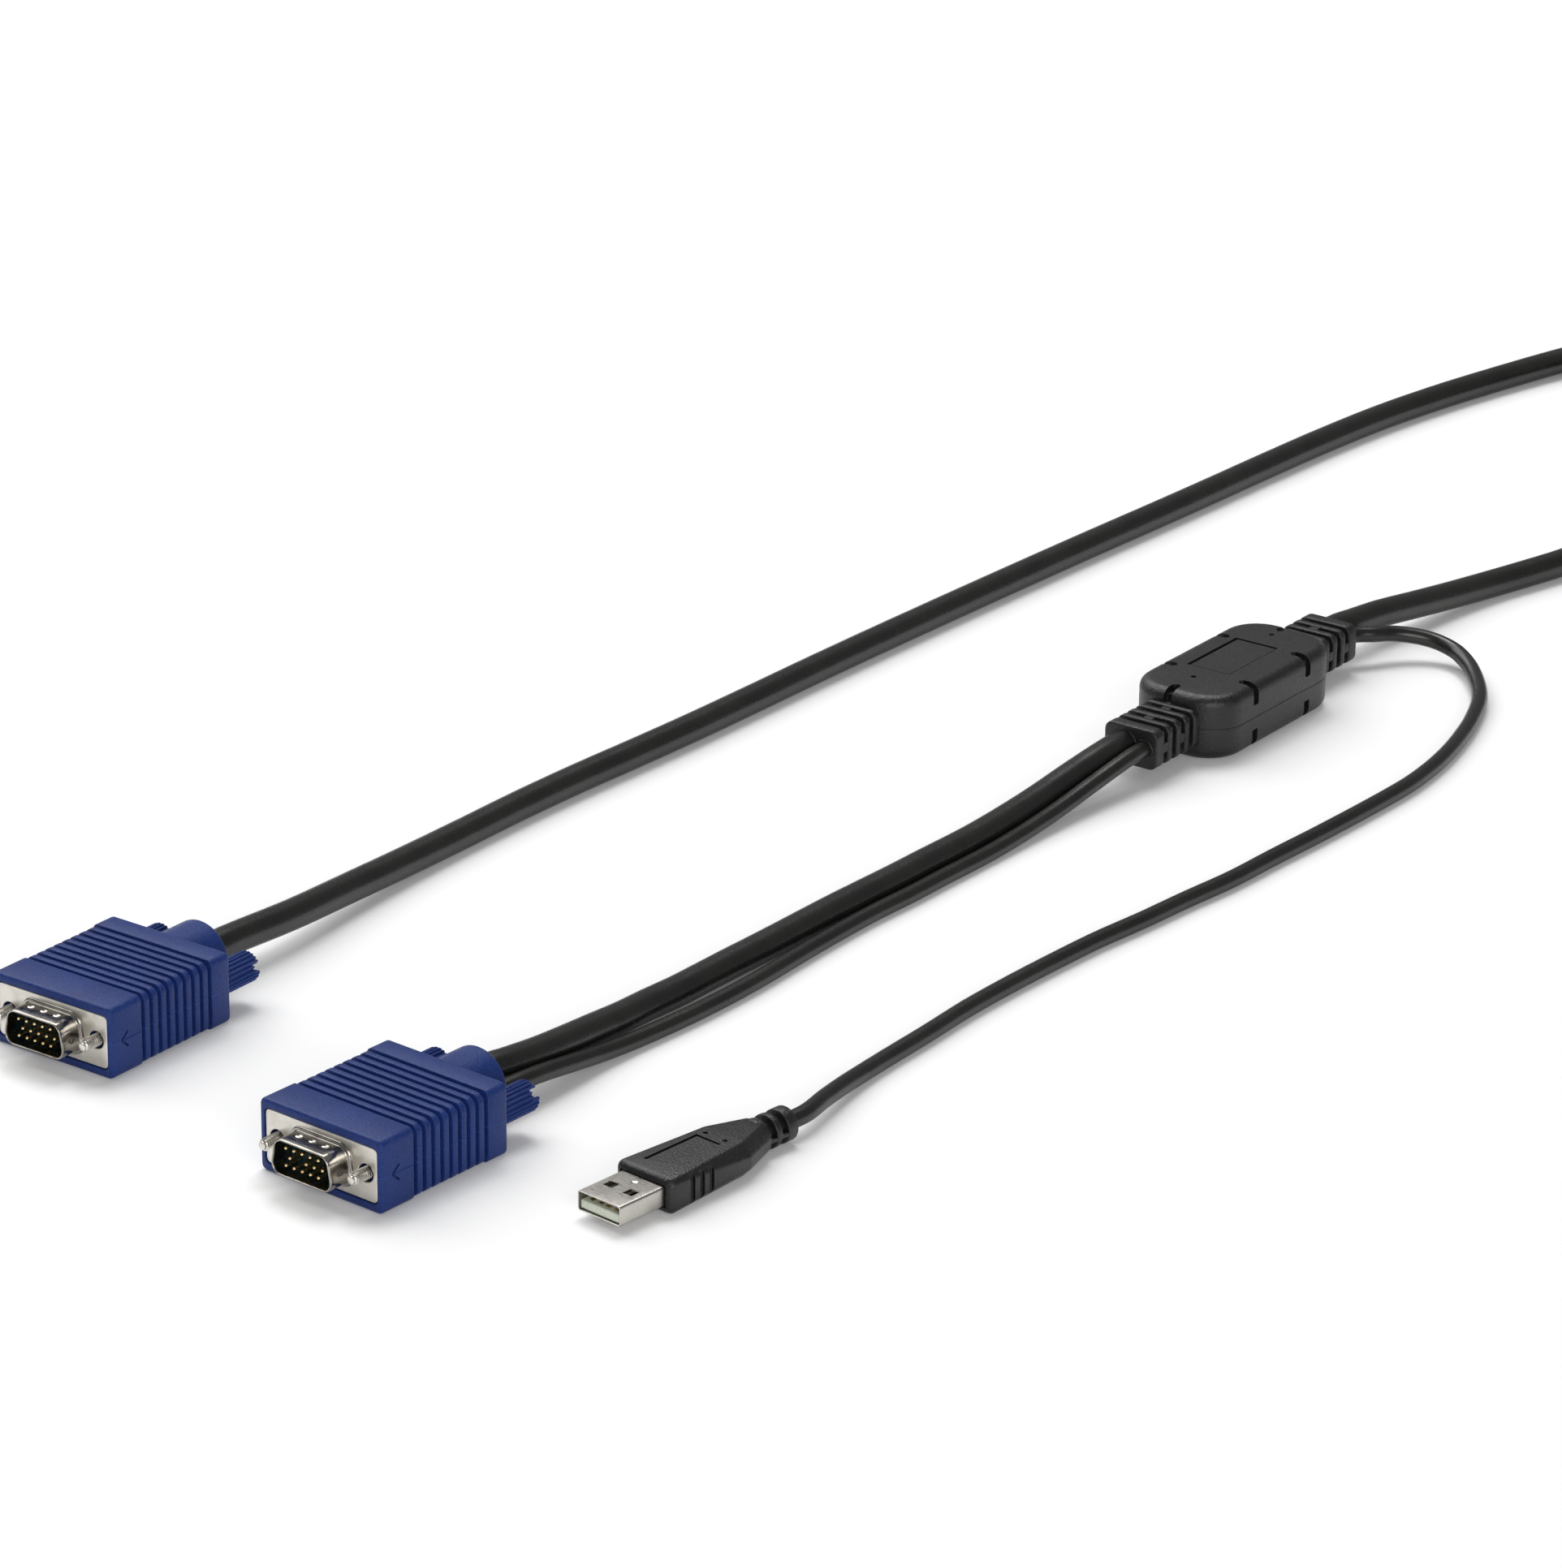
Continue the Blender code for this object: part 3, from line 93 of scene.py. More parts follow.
def add(tree, kind, inputs=None, **settings):
    """A new node with its own settings. An input is a value, or the socket that feeds it."""
    node = tree.nodes.new(kind)
    for name, value in settings.items():
        setattr(node, name, value)
    for name, value in (inputs or {}).items():
        if isinstance(value, bpy.types.NodeSocket):
            tree.links.new(value, node.inputs[name])
        else:
            node.inputs[name].default_value = value
    return node


def new_finish(name, roughness, metallic=0.0, **shader):
    """A material with a shader, its output and object coordinates, ready for colour and bump."""
    material = bpy.data.materials.new(name)
    material.use_nodes = True
    tree = material.node_tree
    tree.nodes.clear()
    surface = add(tree, "ShaderNodeBsdfPrincipled", {"Roughness": roughness, "Metallic": metallic})
    for socket, value in shader.items():
        surface.inputs[socket.replace("_", " ")].default_value = value
    add(tree, "ShaderNodeOutputMaterial", {"Surface": surface.outputs[0]})
    place = add(tree, "ShaderNodeTexCoord").outputs["Object"]
    return material, tree, surface, place


def noise(tree, place, size_mm, detail=2.0, rough=0.5):
    """Noise whose grains are about size_mm across."""
    return add(tree, "ShaderNodeTexNoise", {"Vector": place, "Scale": 1 / (size_mm * MM),
                                            "Detail": detail, "Roughness": rough}).outputs["Fac"]


def spread(tree, value, low, high, start=0.3, end=0.7):
    """A noise value stretched to run from low to high."""
    return add(tree, "ShaderNodeMapRange", {"Value": value, "From Min": start, "From Max": end,
                                            "To Min": low, "To Max": high}).outputs["Result"]


def tint(tree, surface, factor, dark, light):
    """The base colour, running between two close colours."""
    mix = add(tree, "ShaderNodeMix", {0: factor, 6: linear(dark), 7: linear(light)},
              data_type="RGBA")
    tree.links.new(mix.outputs[2], surface.inputs["Base Color"])


def bump(tree, surface, height, depth_mm, strength=1.0, under=None):
    """Relief of the given depth, on top of another bump where there is one."""
    inputs = {"Height": height, "Distance": depth_mm * MM, "Strength": strength}
    if under is not None:
        inputs["Normal"] = under
    node = add(tree, "ShaderNodeBump", inputs)
    tree.links.new(node.outputs[0], surface.inputs["Normal"])
    return node.outputs[0]


# %% [markdown]
# ## Moulded plastics
# The hoods are PVC moulded in one shot over the plug. Their mould was spark-eroded, which leaves
# a fine even grain: the eye sees a soft satin rather than a gloss. The grain is about 0.1 mm on
# the real part. That is finer than a pixel here, so it is drawn three to four times as coarse.
# Where the two mould halves met, at mid height, a hair-thin line runs round each plug.

# %% Blue moulded PVC
PARTING_HEIGHT = 8.3

def parting_line(tree, place, width_mm):
    """1 on the thin line where the mould halves met, 0 elsewhere."""
    height = add(tree, "ShaderNodeSeparateXYZ", {0: place}).outputs["Z"]
    away = add(tree, "ShaderNodeMath", {0: height, 1: PARTING_HEIGHT * MM}, operation="SUBTRACT")
    away = add(tree, "ShaderNodeMath", {0: away.outputs[0]}, operation="ABSOLUTE")
    return spread(tree, away.outputs[0], 1.0, 0.0, 0.3 * width_mm * MM, width_mm * MM)


def moulded(name, dark, light, roughness, grain_mm, grain_depth_mm, line_mm=0.0, gloss=0.2):
    """Plastic with the grain of a spark-eroded mould, faint cloudiness and perhaps a parting line."""
    material, tree, surface, place = new_finish(name, roughness, Specular_IOR_Level=gloss, IOR=1.53)
    grain = noise(tree, place, grain_mm, 3.0, 0.6)
    speck = spread(tree, grain, 0.0, 0.75)
    cloud = spread(tree, noise(tree, place, 14.0, 2.0), 0.0, 0.25)
    shade = add(tree, "ShaderNodeMath", {0: speck, 1: cloud}, operation="ADD").outputs[0]
    rough = spread(tree, grain, roughness - 0.07, roughness + 0.07)
    tree.links.new(rough, surface.inputs["Roughness"])
    relief = bump(tree, surface, grain, grain_depth_mm)
    if line_mm:
        line = parting_line(tree, place, line_mm)
        shade = add(tree, "ShaderNodeMath", {0: shade, 1: line}, operation="ADD").outputs[0]
        bump(tree, surface, line, 0.05, under=relief)
    tint(tree, surface, shade, dark, light)
    return material


BLUE_HOOD = moulded("blue_moulded_pvc", "15265c", "223d80", 0.38, 0.42, 0.12, line_mm=0.2)
BLACK_MOULD = moulded("black_moulded_pvc", "0b0b0c", "1c1c1d", 0.36, 0.55, 0.16, gloss=0.45)
print("moulded plastics:", BLUE_HOOD.name, BLACK_MOULD.name)

# %% [markdown]
# ## Cable jacket
# The jacket is soft PVC, extruded over the wires. Extrusion gives a smooth satin skin with very
# shallow waves along it, from the wires beneath. The black is a little warm.

# %% Black cable PVC
def cable_jacket():
    """Extruded soft PVC: satin black with shallow waves."""
    material, tree, surface, place = new_finish("black_cable_pvc", 0.4, Specular_IOR_Level=0.5,
                                                IOR=1.52)
    wave = noise(tree, place, 9.0, 1.0)
    skin = noise(tree, place, 0.6, 2.0)
    tint(tree, surface, spread(tree, wave, 0.0, 1.0), "131211", "1b1a18")
    tree.links.new(spread(tree, skin, 0.26, 0.36), surface.inputs["Roughness"])
    relief = bump(tree, surface, wave, 0.12)
    bump(tree, surface, skin, 0.005, under=relief)
    return material


CABLE = cable_jacket()

# %% [markdown]
# ## Metals
# The shells are stamped from thin steel and plated with nickel, so they are bright but not a
# mirror: the press leaves shallow waves and fine scratches. The shroud's nickel is made darker
# than the flange's. That is painted shade for the dark room its polished metal mirrors. The screws
# are turned steel with the same plating. The contacts are brass under hard gold.

# %% Nickel and gold
def plated(name, dark, light, roughness, wave_mm, wave_depth_mm, scratch_depth_mm):
    """Plated metal: broad shallow waves from the press, and fine scratches."""
    material, tree, surface, place = new_finish(name, roughness, metallic=1.0)
    wave = noise(tree, place, wave_mm, 1.0)
    stretched = add(tree, "ShaderNodeMapping", {"Vector": place, "Scale": (0.2, 1.0, 1.0)})
    scratch = noise(tree, stretched.outputs[0], 0.35, 3.0, 0.7)
    tint(tree, surface, spread(tree, wave, 0.0, 1.0), dark, light)
    tree.links.new(spread(tree, scratch, roughness - 0.06, roughness + 0.08),
                   surface.inputs["Roughness"])
    relief = bump(tree, surface, wave, wave_depth_mm)
    bump(tree, surface, scratch, scratch_depth_mm, under=relief)
    return material


FLANGE_NICKEL = plated("satin_nickel_flange", "d2cec6", "e4e0d8", 0.36, 3.0, 0.05, 0.006)
# The shroud's base colour is darker than real nickel. This is painted shade, standing in for the dark
# surroundings that its polished metal mirrors.
NICKEL = plated("polished_nickel_painted_dark", "8e8a83", "b3afa7", 0.16, 3.5, 0.06, 0.003)
ROLLED_NICKEL = plated("rolled_nickel_shell", "bab6b0", "cdcac4", 0.3, 7.0, 0.01, 0.003)
SCREW_STEEL = plated("turned_nickel_screw", "c9c5be", "e0dcd5", 0.3, 1.5, 0.01, 0.003)
GOLD = plated("gold_plate", "e4c58a", "f3daa9", 0.22, 2.0, 0.01, 0.002)
print("metals:", NICKEL.name, GOLD.name)

# %% [markdown]
# ## Small plastics and the hidden pieces
# The insulator is a glossy teal-black PBT block, the data plug's tongue is the pale kind. The
# board, the chip and the inner moulds are closed in, but they are finished too, because someone
# may open the model.

# %% Insulator, tongue and hidden pieces
def plain(name, dark, light, roughness, grain_mm=0.8, depth_mm=0.01, **shader):
    """Smooth moulded plastic with a slight unevenness."""
    material, tree, surface, place = new_finish(name, roughness, **shader)
    grain = noise(tree, place, grain_mm)
    tint(tree, surface, spread(tree, grain, 0.0, 1.0), dark, light)
    tree.links.new(spread(tree, grain, roughness - 0.05, roughness + 0.05),
                   surface.inputs["Roughness"])
    bump(tree, surface, grain, depth_mm)
    return material


INSULATOR = plain("teal_black_pbt", "0b2a32", "10363f", 0.5, IOR=1.57, Specular_IOR_Level=0.15)
TONGUE = plain("pale_pbt", "c4ccb9", "d3d9c9", 0.35, IOR=1.57)
TIE = plain("black_nylon_tie", "1a1a1b", "212122", 0.4, IOR=1.53)
CHIP = plain("black_epoxy", "17171a", "1f1f22", 0.55, 0.3, 0.02)
CLEAR = plain("natural_polyethylene", "d8d6cc", "e4e2da", 0.35, 2.0, Subsurface_Weight=0.2)


def solder_mask():
    """Green solder mask over a glass board, with the faint weave of the cloth and copper under it."""
    material, tree, surface, place = new_finish("green_solder_mask", 0.3, IOR=1.55)
    weave = add(tree, "ShaderNodeTexWave", {"Vector": place, "Scale": 250.0, "Distortion": 0.4})
    copper = noise(tree, place, 2.5, 0.0)
    tint(tree, surface, spread(tree, copper, 0.0, 1.0, 0.48, 0.52), "0e4a2a", "17603a")
    bump(tree, surface, weave.outputs["Fac"], 0.01)
    return material


BOARD = solder_mask()
for node, finish in (("circuit_board", BOARD), ("controller_chip", CHIP), ("coil_tie", TIE),
                     ("console_inner_mould", CLEAR), ("server_inner_mould", CLEAR)):
    for material_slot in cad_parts[node].material_slots:
        material_slot.link = "OBJECT"
        material_slot.material = finish
print("CAD nodes with a new finish: 5")

# %% [markdown]
# ## Where each connector lies
# Each connector is drawn in its own frame: its mating end at y = 0, +y going back along the
# plug, z up from the table. A matrix then lays it where the CAD has it.

# %% Places
def laid(x, y, degrees):
    """The matrix of a connector that lies at x, y in millimetres, turned by some degrees."""
    return Matrix.Translation((x * MM, y * MM, 0)) @ Matrix.Rotation(math.radians(degrees), 4, "Z")


CONSOLE = laid(-76.2, -328.1, 3.3)
SERVER = laid(11.9, -337.5, 0.0)
DATA = laid(65.5, -312.1, -2.9)
BLOCK = laid(0.0, 0.0, 3.6)
BOOT_END, RELIEF_END, DATA_END = 48.8, 46.3, 56.4
PLUG_MIDDLE, BLOCK_MIDDLE, DATA_MIDDLE = 8.3, 8.2, 4.0
THICK, THIN = 7.2, 4.1
THICK_SIDE, THIN_SIDE, THIN_DROP = -2.1, 3.9, 1.9


def at(place, x, y, z):
    """A connector's own point, in millimetres of the whole object's frame."""
    return place @ (Vector((x, y, z)) * MM) / MM


# %% [markdown]
# ## The cables
# A cable is a fixed length of something flexible, so it is a curve: a line with a round section.
# The line must be smooth, so each handle follows its two neighbours, which gives the same gentle
# curve as the CAD tube. The points are the CAD's own route. Each cable starts a little inside
# its gland, and leaves it straight.

# %% Cable curves
def cable(name, points_mm, diameter_mm, nodes):
    """A round cable along a smooth line through the points, in place of its CAD solids."""
    points = [Vector(point) * MM for point in points_mm]
    curve = bpy.data.curves.new(name, "CURVE")
    curve.dimensions = "3D"
    curve.bevel_depth = diameter_mm * MM / 2
    curve.bevel_resolution = 10
    curve.resolution_u = 8
    curve.use_fill_caps = True
    spline = curve.splines.new("BEZIER")
    spline.bezier_points.add(len(points) - 1)
    ends = [2 * points[0] - points[1], *points, 2 * points[-1] - points[-2]]
    for index, knot in enumerate(spline.bezier_points):
        before, here, after = ends[index:index + 3]
        lean = (after - before).normalized()
        knot.handle_left_type = knot.handle_right_type = "FREE"
        knot.co = here
        knot.handle_left = here - lean * (here - before).length / 3
        knot.handle_right = here + lean * (after - here).length / 3
    curve.materials.append(CABLE)
    piece = bpy.data.objects.new(name, curve)
    bpy.context.scene.collection.objects.link(piece)
    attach(piece, "cable")
    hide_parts(*nodes)
    length = sum((b - a).length for a, b in zip(points, points[1:]))
    print(name, "about", round(length, 3), "m on", len(points), "points")
    return piece


def ease(share):
    """A smooth step from 0 to 1."""
    share = min(max(share, 0.0), 1.0)
    return share * share * (3 - 2 * share)


# %% [markdown]
# The main cable leaves the console plug, runs up the table and is wound into a small coil out of
# the photograph's view, because the photograph shows it leave the picture at one place and come
# back at another. The coil has one turn of 39.6 mm radius, one of 32.4 mm inside it, and a last
# half turn lying in the groove between the two. Where one turn crosses another it rises over it.

# %% Main cable with its coil
COIL_X, COIL_Y = -39.4, 318.0


def coil_point(angle):
    """The cable's centre after so many degrees of winding from the coil's left side."""
    radius = 39.6 - 7.3 * ease((angle - 270) / 90) + 3.7 * ease((angle - 600) / 60)
    height = 4.4 + 6.5 * ease((angle - 545) / 80)
    height += 1.0 * ease((angle - 625) / 35) * (1 - ease((angle - 720) / 40))
    height += 0.9 * ease((angle - 820) / 70)
    turned = math.radians(angle)
    return (COIL_X - radius * math.cos(turned), COIL_Y + radius * math.sin(turned), height)


console_route = [
    (-79.7, -268, 8.1), (-81, -249, 6.9), (-84.2, -227, 5.3), (-86.9, -205, 4.1),
    (-88.9, -183, 3.6), (-90.3, -162, 3.6), (-91.1, -141, 3.6), (-91.3, -119.5, 3.6),
    (-91.7, -98, 3.6), (-92.6, -75, 3.6), (-93.7, -51.5, 3.6), (-94.6, -28, 3.6),
    (-95.3, -3.5, 3.6), (-95.9, 21, 3.6), (-96.4, 46, 3.6), (-96.8, 71.5, 3.6), (-97, 97, 3.6),
    (-97.4, 124, 3.6), (-98, 151.5, 3.6), (-98.3, 179.5, 3.6), (-97.6, 207, 3.6),
    (-95.2, 233, 3.6), (-91.6, 257.5, 3.6), (-87, 280, 3.9), (-81.65, 299.3, 4.4),
]
converter_route = [
    (-4.8, 57, 8.1), (-4.2, 69, 7.4), (-3.2, 83.3, 6.0), (-2.3, 95.9, 4.8), (-1.1, 107.7, 4.0),
    (0.6, 118.8, 3.6), (2.8, 129.3, 3.6), (4.8, 139.9, 3.6), (6.6, 155, 3.6), (7.4, 172, 3.6),
    (6.8, 190, 3.6), (5, 208, 3.6), (2.6, 226, 3.6), (0.2, 244, 3.8), (-1.8, 262, 5.0),
    (-2.9, 276, 7.2), (-3.3, 291.4, 9.8), (-3.4, 301, 11.5), (-3.4, 309, 11.8),
]
main_points = [at(CONSOLE, 0, BOOT_END - 2, PLUG_MIDDLE), at(CONSOLE, 0, BOOT_END + 6, PLUG_MIDDLE)]
main_points += console_route
main_points += [coil_point(angle) for angle in range(0, 901, 20)]
main_points += list(reversed(converter_route))
main_points += [at(BLOCK, THICK_SIDE, RELIEF_END + beyond, BLOCK_MIDDLE) for beyond in (6, -2)]
main_cable = cable("main_cable", main_points, THICK,
                   ("console_cable", "cable_coil", "converter_cable"))

# %% [markdown]
# Two short cables join the server plug to the block side by side: the video cable, and the
# thinner one for the data lines. The thin lead then comes out of the block's far end, turns back
# in a wide loop and runs down to the data plug.

# %% Short cables and the data lead
video_route = [
    (10.1, -279, 8.0), (10.1, -268.7, 7.0), (9.6, -259, 6.2), (8.9, -249.1, 5.4),
    (8.4, -239.3, 4.7), (7.5, -229.2, 4.1), (7.1, -219.4, 3.7), (6.6, -209.7, 3.6),
    (6.2, -199.9, 3.6), (5.9, -190.2, 3.6), (5.5, -180.2, 3.6), (5.0, -169.9, 3.6),
    (4.6, -159.7, 3.6), (4.4, -149.5, 3.6), (4.2, -139.3, 3.6), (3.8, -128.7, 3.6),
    (3.0, -107, 3.6), (1.9, -85, 4.6), (1.2, -66, 6.6),
]
data_pigtail_route = [
    (15.9, -276.5, 6.1), (15.8, -270.5, 5.5), (15.4, -262.1, 4.3), (14.9, -254.5, 3.2),
    (14.8, -245, 2.4), (15, -235, 2.1), (15.2, -225, 2.05), (15.1, -215.4, 2.05),
    (14.7, -205.6, 2.05), (13.9, -195.4, 2.05), (12.8, -184.8, 2.05), (11.8, -174.3, 2.05),
    (11, -163.9, 2.05), (10.4, -153.2, 2.05), (10.2, -139.3, 2.05), (9.7, -128.7, 2.05),
    (8.9, -107, 2.1), (7.8, -85, 3.4), (7.2, -66, 6.0),
]
data_lead_route = [
    (3.9, 55.2, 7.9), (6.9, 60.4, 7.3), (11.5, 64.6, 6.4), (16.4, 66.6, 5.4), (22.6, 65.8, 4.3),
    (30.9, 59.8, 3.3), (40.7, 48.2, 2.5), (47.3, 34.9, 2.1), (52.3, 21.3, 2.05),
    (55.8, 9.1, 2.05), (58.1, -2.3, 2.05), (59.4, -12.9, 2.05), (60.2, -32.1, 2.05),
    (60.5, -50.2, 2.05), (60.5, -67.9, 2.05), (60.7, -85.4, 2.05), (59.8, -101.5, 2.05),
    (59.2, -117.5, 2.05), (58.2, -133, 2.05), (58, -149, 2.05), (58.2, -165.1, 2.05),
    (58.9, -181.4, 2.05), (60.5, -198.1, 2.05), (61.8, -214.4, 2.05), (62.9, -223.3, 2.3),
    (64.4, -231.3, 2.9), (66.5, -240.5, 3.6),
]


def short_cable(name, side, drop, diameter, route):
    """A cable from the server plug's boot to the block's near relief."""
    height = PLUG_MIDDLE - drop
    points = [at(SERVER, side, BOOT_END - 2, height), at(SERVER, side, BOOT_END + 6, height), *route,
              at(BLOCK, side, -RELIEF_END - 6, BLOCK_MIDDLE),
              at(BLOCK, side, -RELIEF_END + 2, BLOCK_MIDDLE)]
    piece = cable(name, points, diameter, (name.replace("_cable", "_pigtail"),))
    return piece


short_cable("video_cable", THICK_SIDE, 0, THICK, video_route)
short_cable("data_cable", THIN_SIDE, THIN_DROP, THIN, data_pigtail_route)
lead_points = [at(BLOCK, THIN_SIDE, RELIEF_END - 2, BLOCK_MIDDLE),
               at(BLOCK, THIN_SIDE, RELIEF_END + 4, BLOCK_MIDDLE), *data_lead_route,
               at(DATA, 0, DATA_END + 6, DATA_MIDDLE), at(DATA, 0, DATA_END - 2, DATA_MIDDLE)]
data_lead = cable("data_lead_cable", lead_points, THIN, ("data_lead",))

# %% [markdown]
# ## How the solid pieces are made
# Almost every piece here is a closed outline pulled along an axis, and it swells and shrinks on
# the way: grooves, lips and rounded ends are just places where the outline is smaller. So the
# method is the same each time. An outline starts from its few corners, which the bevel operator
# rounds. A sweep then extrudes its ring of edges from station to station. Holes and marks are
# cut with a Boolean, as a drill or an engraver would do it.

# %% Outlines
def outline(corners, setbacks, segments=6):
    """A flat shape with rounded corners, as its points in order round the middle."""
    work = bmesh.new()
    verts = [work.verts.new((x, 0, z)) for x, z in corners]
    work.faces.new(verts)
    if not hasattr(setbacks, "__len__"):
        setbacks = [setbacks] * len(verts)
    for vert, setback in zip(verts, setbacks):
        bmesh.ops.bevel(work, geom=[vert], offset=setback, offset_type="ABSOLUTE",
                        affect="VERTICES", segments=segments, profile=0.5, material=-1)
    points = [Vector((vert.co.x, vert.co.z)) for vert in work.verts]
    work.free()
    return sorted(points, key=lambda point: (math.atan2(point.y, point.x) + 0.01) % (2 * math.pi))


def rectangle(width, height):
    """The corners of a rectangle about its middle."""
    w, h = width / 2, height / 2
    return [(w, h), (-w, h), (-w, -h), (w, -h)]


def circle(diameter, steps=32):
    """A round outline."""
    work = bmesh.new()
    bmesh.ops.create_circle(work, segments=steps, radius=diameter / 2)
    points = [vert.co.xy.copy() for vert in work.verts]
    work.free()
    return sorted(points, key=lambda point: (math.atan2(point.y, point.x) + 0.01) % (2 * math.pi))


def offset(points, distance):
    """The outline moved outwards by a distance, or inwards if it is negative."""
    moved = []
    for before, here, after in zip(points[-1:] + points[:-1], points, points[1:] + points[:1]):
        first, second = (here - before).normalized(), (after - here).normalized()
        normals = Vector((first.y, -first.x)), Vector((second.y, -second.x))
        reach = distance / (1 + normals[0].dot(normals[1]))
        moved.append(here + (normals[0] + normals[1]) * reach)
    return moved


# %% Sweeps along an axis
def sweep(work, stations, axis="Y", centre=(0, 0, 0), closed_ring=False):
    """Extrude an outline from station to station. A station is a place on the axis and its points."""
    centre = Vector(centre)

    def ring(along, points):
        if axis == "Y":
            return [centre + Vector((p.x, along, p.y)) for p in points]
        if axis == "X":
            return [centre + Vector((along, p.x, p.y)) for p in points]
        return [centre + Vector((p.x, p.y, along)) for p in points]

    verts = [work.verts.new(place) for place in ring(*stations[0])]
    edges = [work.edges.new(pair) for pair in zip(verts, verts[1:] + verts[:1])]
    made, first_edges = list(verts), list(edges)
    for station in stations[1:]:
        grown = bmesh.ops.extrude_edge_only(work, edges=edges)["geom"]
        fresh = {item for item in grown if isinstance(item, bmesh.types.BMVert)}
        verts = [next(edge.other_vert(vert) for edge in vert.link_edges
                      if edge.other_vert(vert) in fresh) for vert in verts]
        for vert, place in zip(verts, ring(*station)):
            vert.co = place
        made += verts
        edges = [work.edges.get(pair) for pair in zip(verts, verts[1:] + verts[:1])]
    if closed_ring:
        bmesh.ops.bridge_loops(work, edges=first_edges + edges)
    else:
        bmesh.ops.contextual_create(work, geom=first_edges)
        bmesh.ops.contextual_create(work, geom=edges)
    return made


def rounding(radius, steps=4):
    """(along, inset) pairs of a rounded edge, from the end face round to the side."""
    angles = [math.pi / 2 * step / steps for step in range(steps + 1)]
    return [(radius * (1 - math.cos(a)), radius * (1 - math.sin(a))) for a in angles]


def groove(start, width, depth, lip=0.2, floor=0.15):
    """(along, inset) pairs across a moulded groove with soft lips and a soft floor."""
    lips = rounding(lip, 3)
    end = start + width
    return ([(start - along, inset) for along, inset in reversed(lips)]
            + [(start, depth - floor), (start + floor, depth), (end - floor, depth),
               (end, depth - floor)]
            + [(end + along, inset) for along, inset in lips])


# %% Boolean cuts, boxes and rods
def temporary(work):
    """A bmesh as an object for a moment."""
    bmesh.ops.recalc_face_normals(work, faces=work.faces)
    mesh = bpy.data.meshes.new("cutting")
    work.to_mesh(mesh)
    holder = bpy.data.objects.new("cutting", mesh)
    bpy.context.scene.collection.objects.link(holder)
    return holder


def cut(work, cutter, operation="DIFFERENCE"):
    """Take the cutter out of the piece, or join it, and keep the result in the piece's bmesh."""
    target, tool = temporary(work), temporary(cutter)
    boolean = target.modifiers.new("cut", "BOOLEAN")
    boolean.operation = operation
    boolean.solver = "EXACT"
    boolean.use_self = True
    boolean.object = tool
    bpy.context.view_layer.update()
    result = bpy.data.meshes.new_from_object(target.evaluated_get(bpy.context.evaluated_depsgraph_get()))
    work.clear()
    work.from_mesh(result)
    cutter.free()
    meshes = [result, target.data, tool.data]
    for holder in (target, tool):
        bpy.data.objects.remove(holder)
    for mesh in meshes:
        bpy.data.meshes.remove(mesh)


def block(work, low, high, edge=0.0, segments=3):
    """A box between two corners, its edges rounded if asked."""
    low, high = Vector(low), Vector(high)
    place = Matrix.Translation((low + high) / 2) @ Matrix.Diagonal((*(high - low), 1))
    made = bmesh.ops.create_cube(work, size=1, matrix=place)["verts"]
    if edge:
        edges = list({item for vert in made for item in vert.link_edges})
        bmesh.ops.bevel(work, geom=edges, offset=edge, affect="EDGES", segments=segments,
                        profile=0.5, material=-1)


def rod(work, diameter, start, end, x=0.0, z=0.0, steps=32, end_diameter=None):
    """A round bar or cone along Y."""
    turn = Matrix.Rotation(math.radians(-90), 4, "X")
    last = diameter if end_diameter is None else end_diameter
    bmesh.ops.create_cone(work, cap_ends=True, segments=steps, radius1=diameter / 2,
                          radius2=last / 2, depth=end - start,
                          matrix=Matrix.Translation((x, (start + end) / 2, z)) @ turn)


# %% A finished piece
def finished(name, work, place, material, nodes=(), body="cable", sharp=32):
    """Turn a bmesh in millimetres into a finished piece that rides on its body."""
    bmesh.ops.recalc_face_normals(work, faces=work.faces)
    bmesh.ops.scale(work, verts=work.verts, vec=(MM, MM, MM))
    bmesh.ops.transform(work, matrix=place, verts=work.verts)
    mesh = bpy.data.meshes.new(name)
    work.to_mesh(mesh)
    work.free()
    mesh.shade_smooth()
    mesh.set_sharp_from_angle(angle=math.radians(sharp))
    mesh.materials.append(material)
    piece = bpy.data.objects.new(name, mesh)
    bpy.context.scene.collection.objects.link(piece)
    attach(piece, body)
    if nodes:
        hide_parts(*nodes)
    print(name, len(mesh.polygons), "faces")
    return piece


# %% [markdown]
# ## The video plug's hood
# The hood is one blue moulding: a plain block in front, a plain block behind, and nine grooves
# between them that give the fingers a hold. The ribs' corners are rounder than the blocks'. The
# front face is sunk to seat the metal flange. The sweep walks along the plug once, so all of this
# is one skin. The round boot behind is a second sweep, sunk into the rear face.

# %% Hood
HOOD_W, HOOD_H, HOOD_L = 34.4, 16.6, 38.5
FRONT_PLAIN, REAR_PLAIN = 9.7, 6.1
GROOVES, GROOVE_W, GROOVE_DEEP = 9, 1.1, 1.35
FLANGE_W, FLANGE_H, BOOT_D = 31.4, 12.5, 16.0
SCREW_SIDE = 12.5


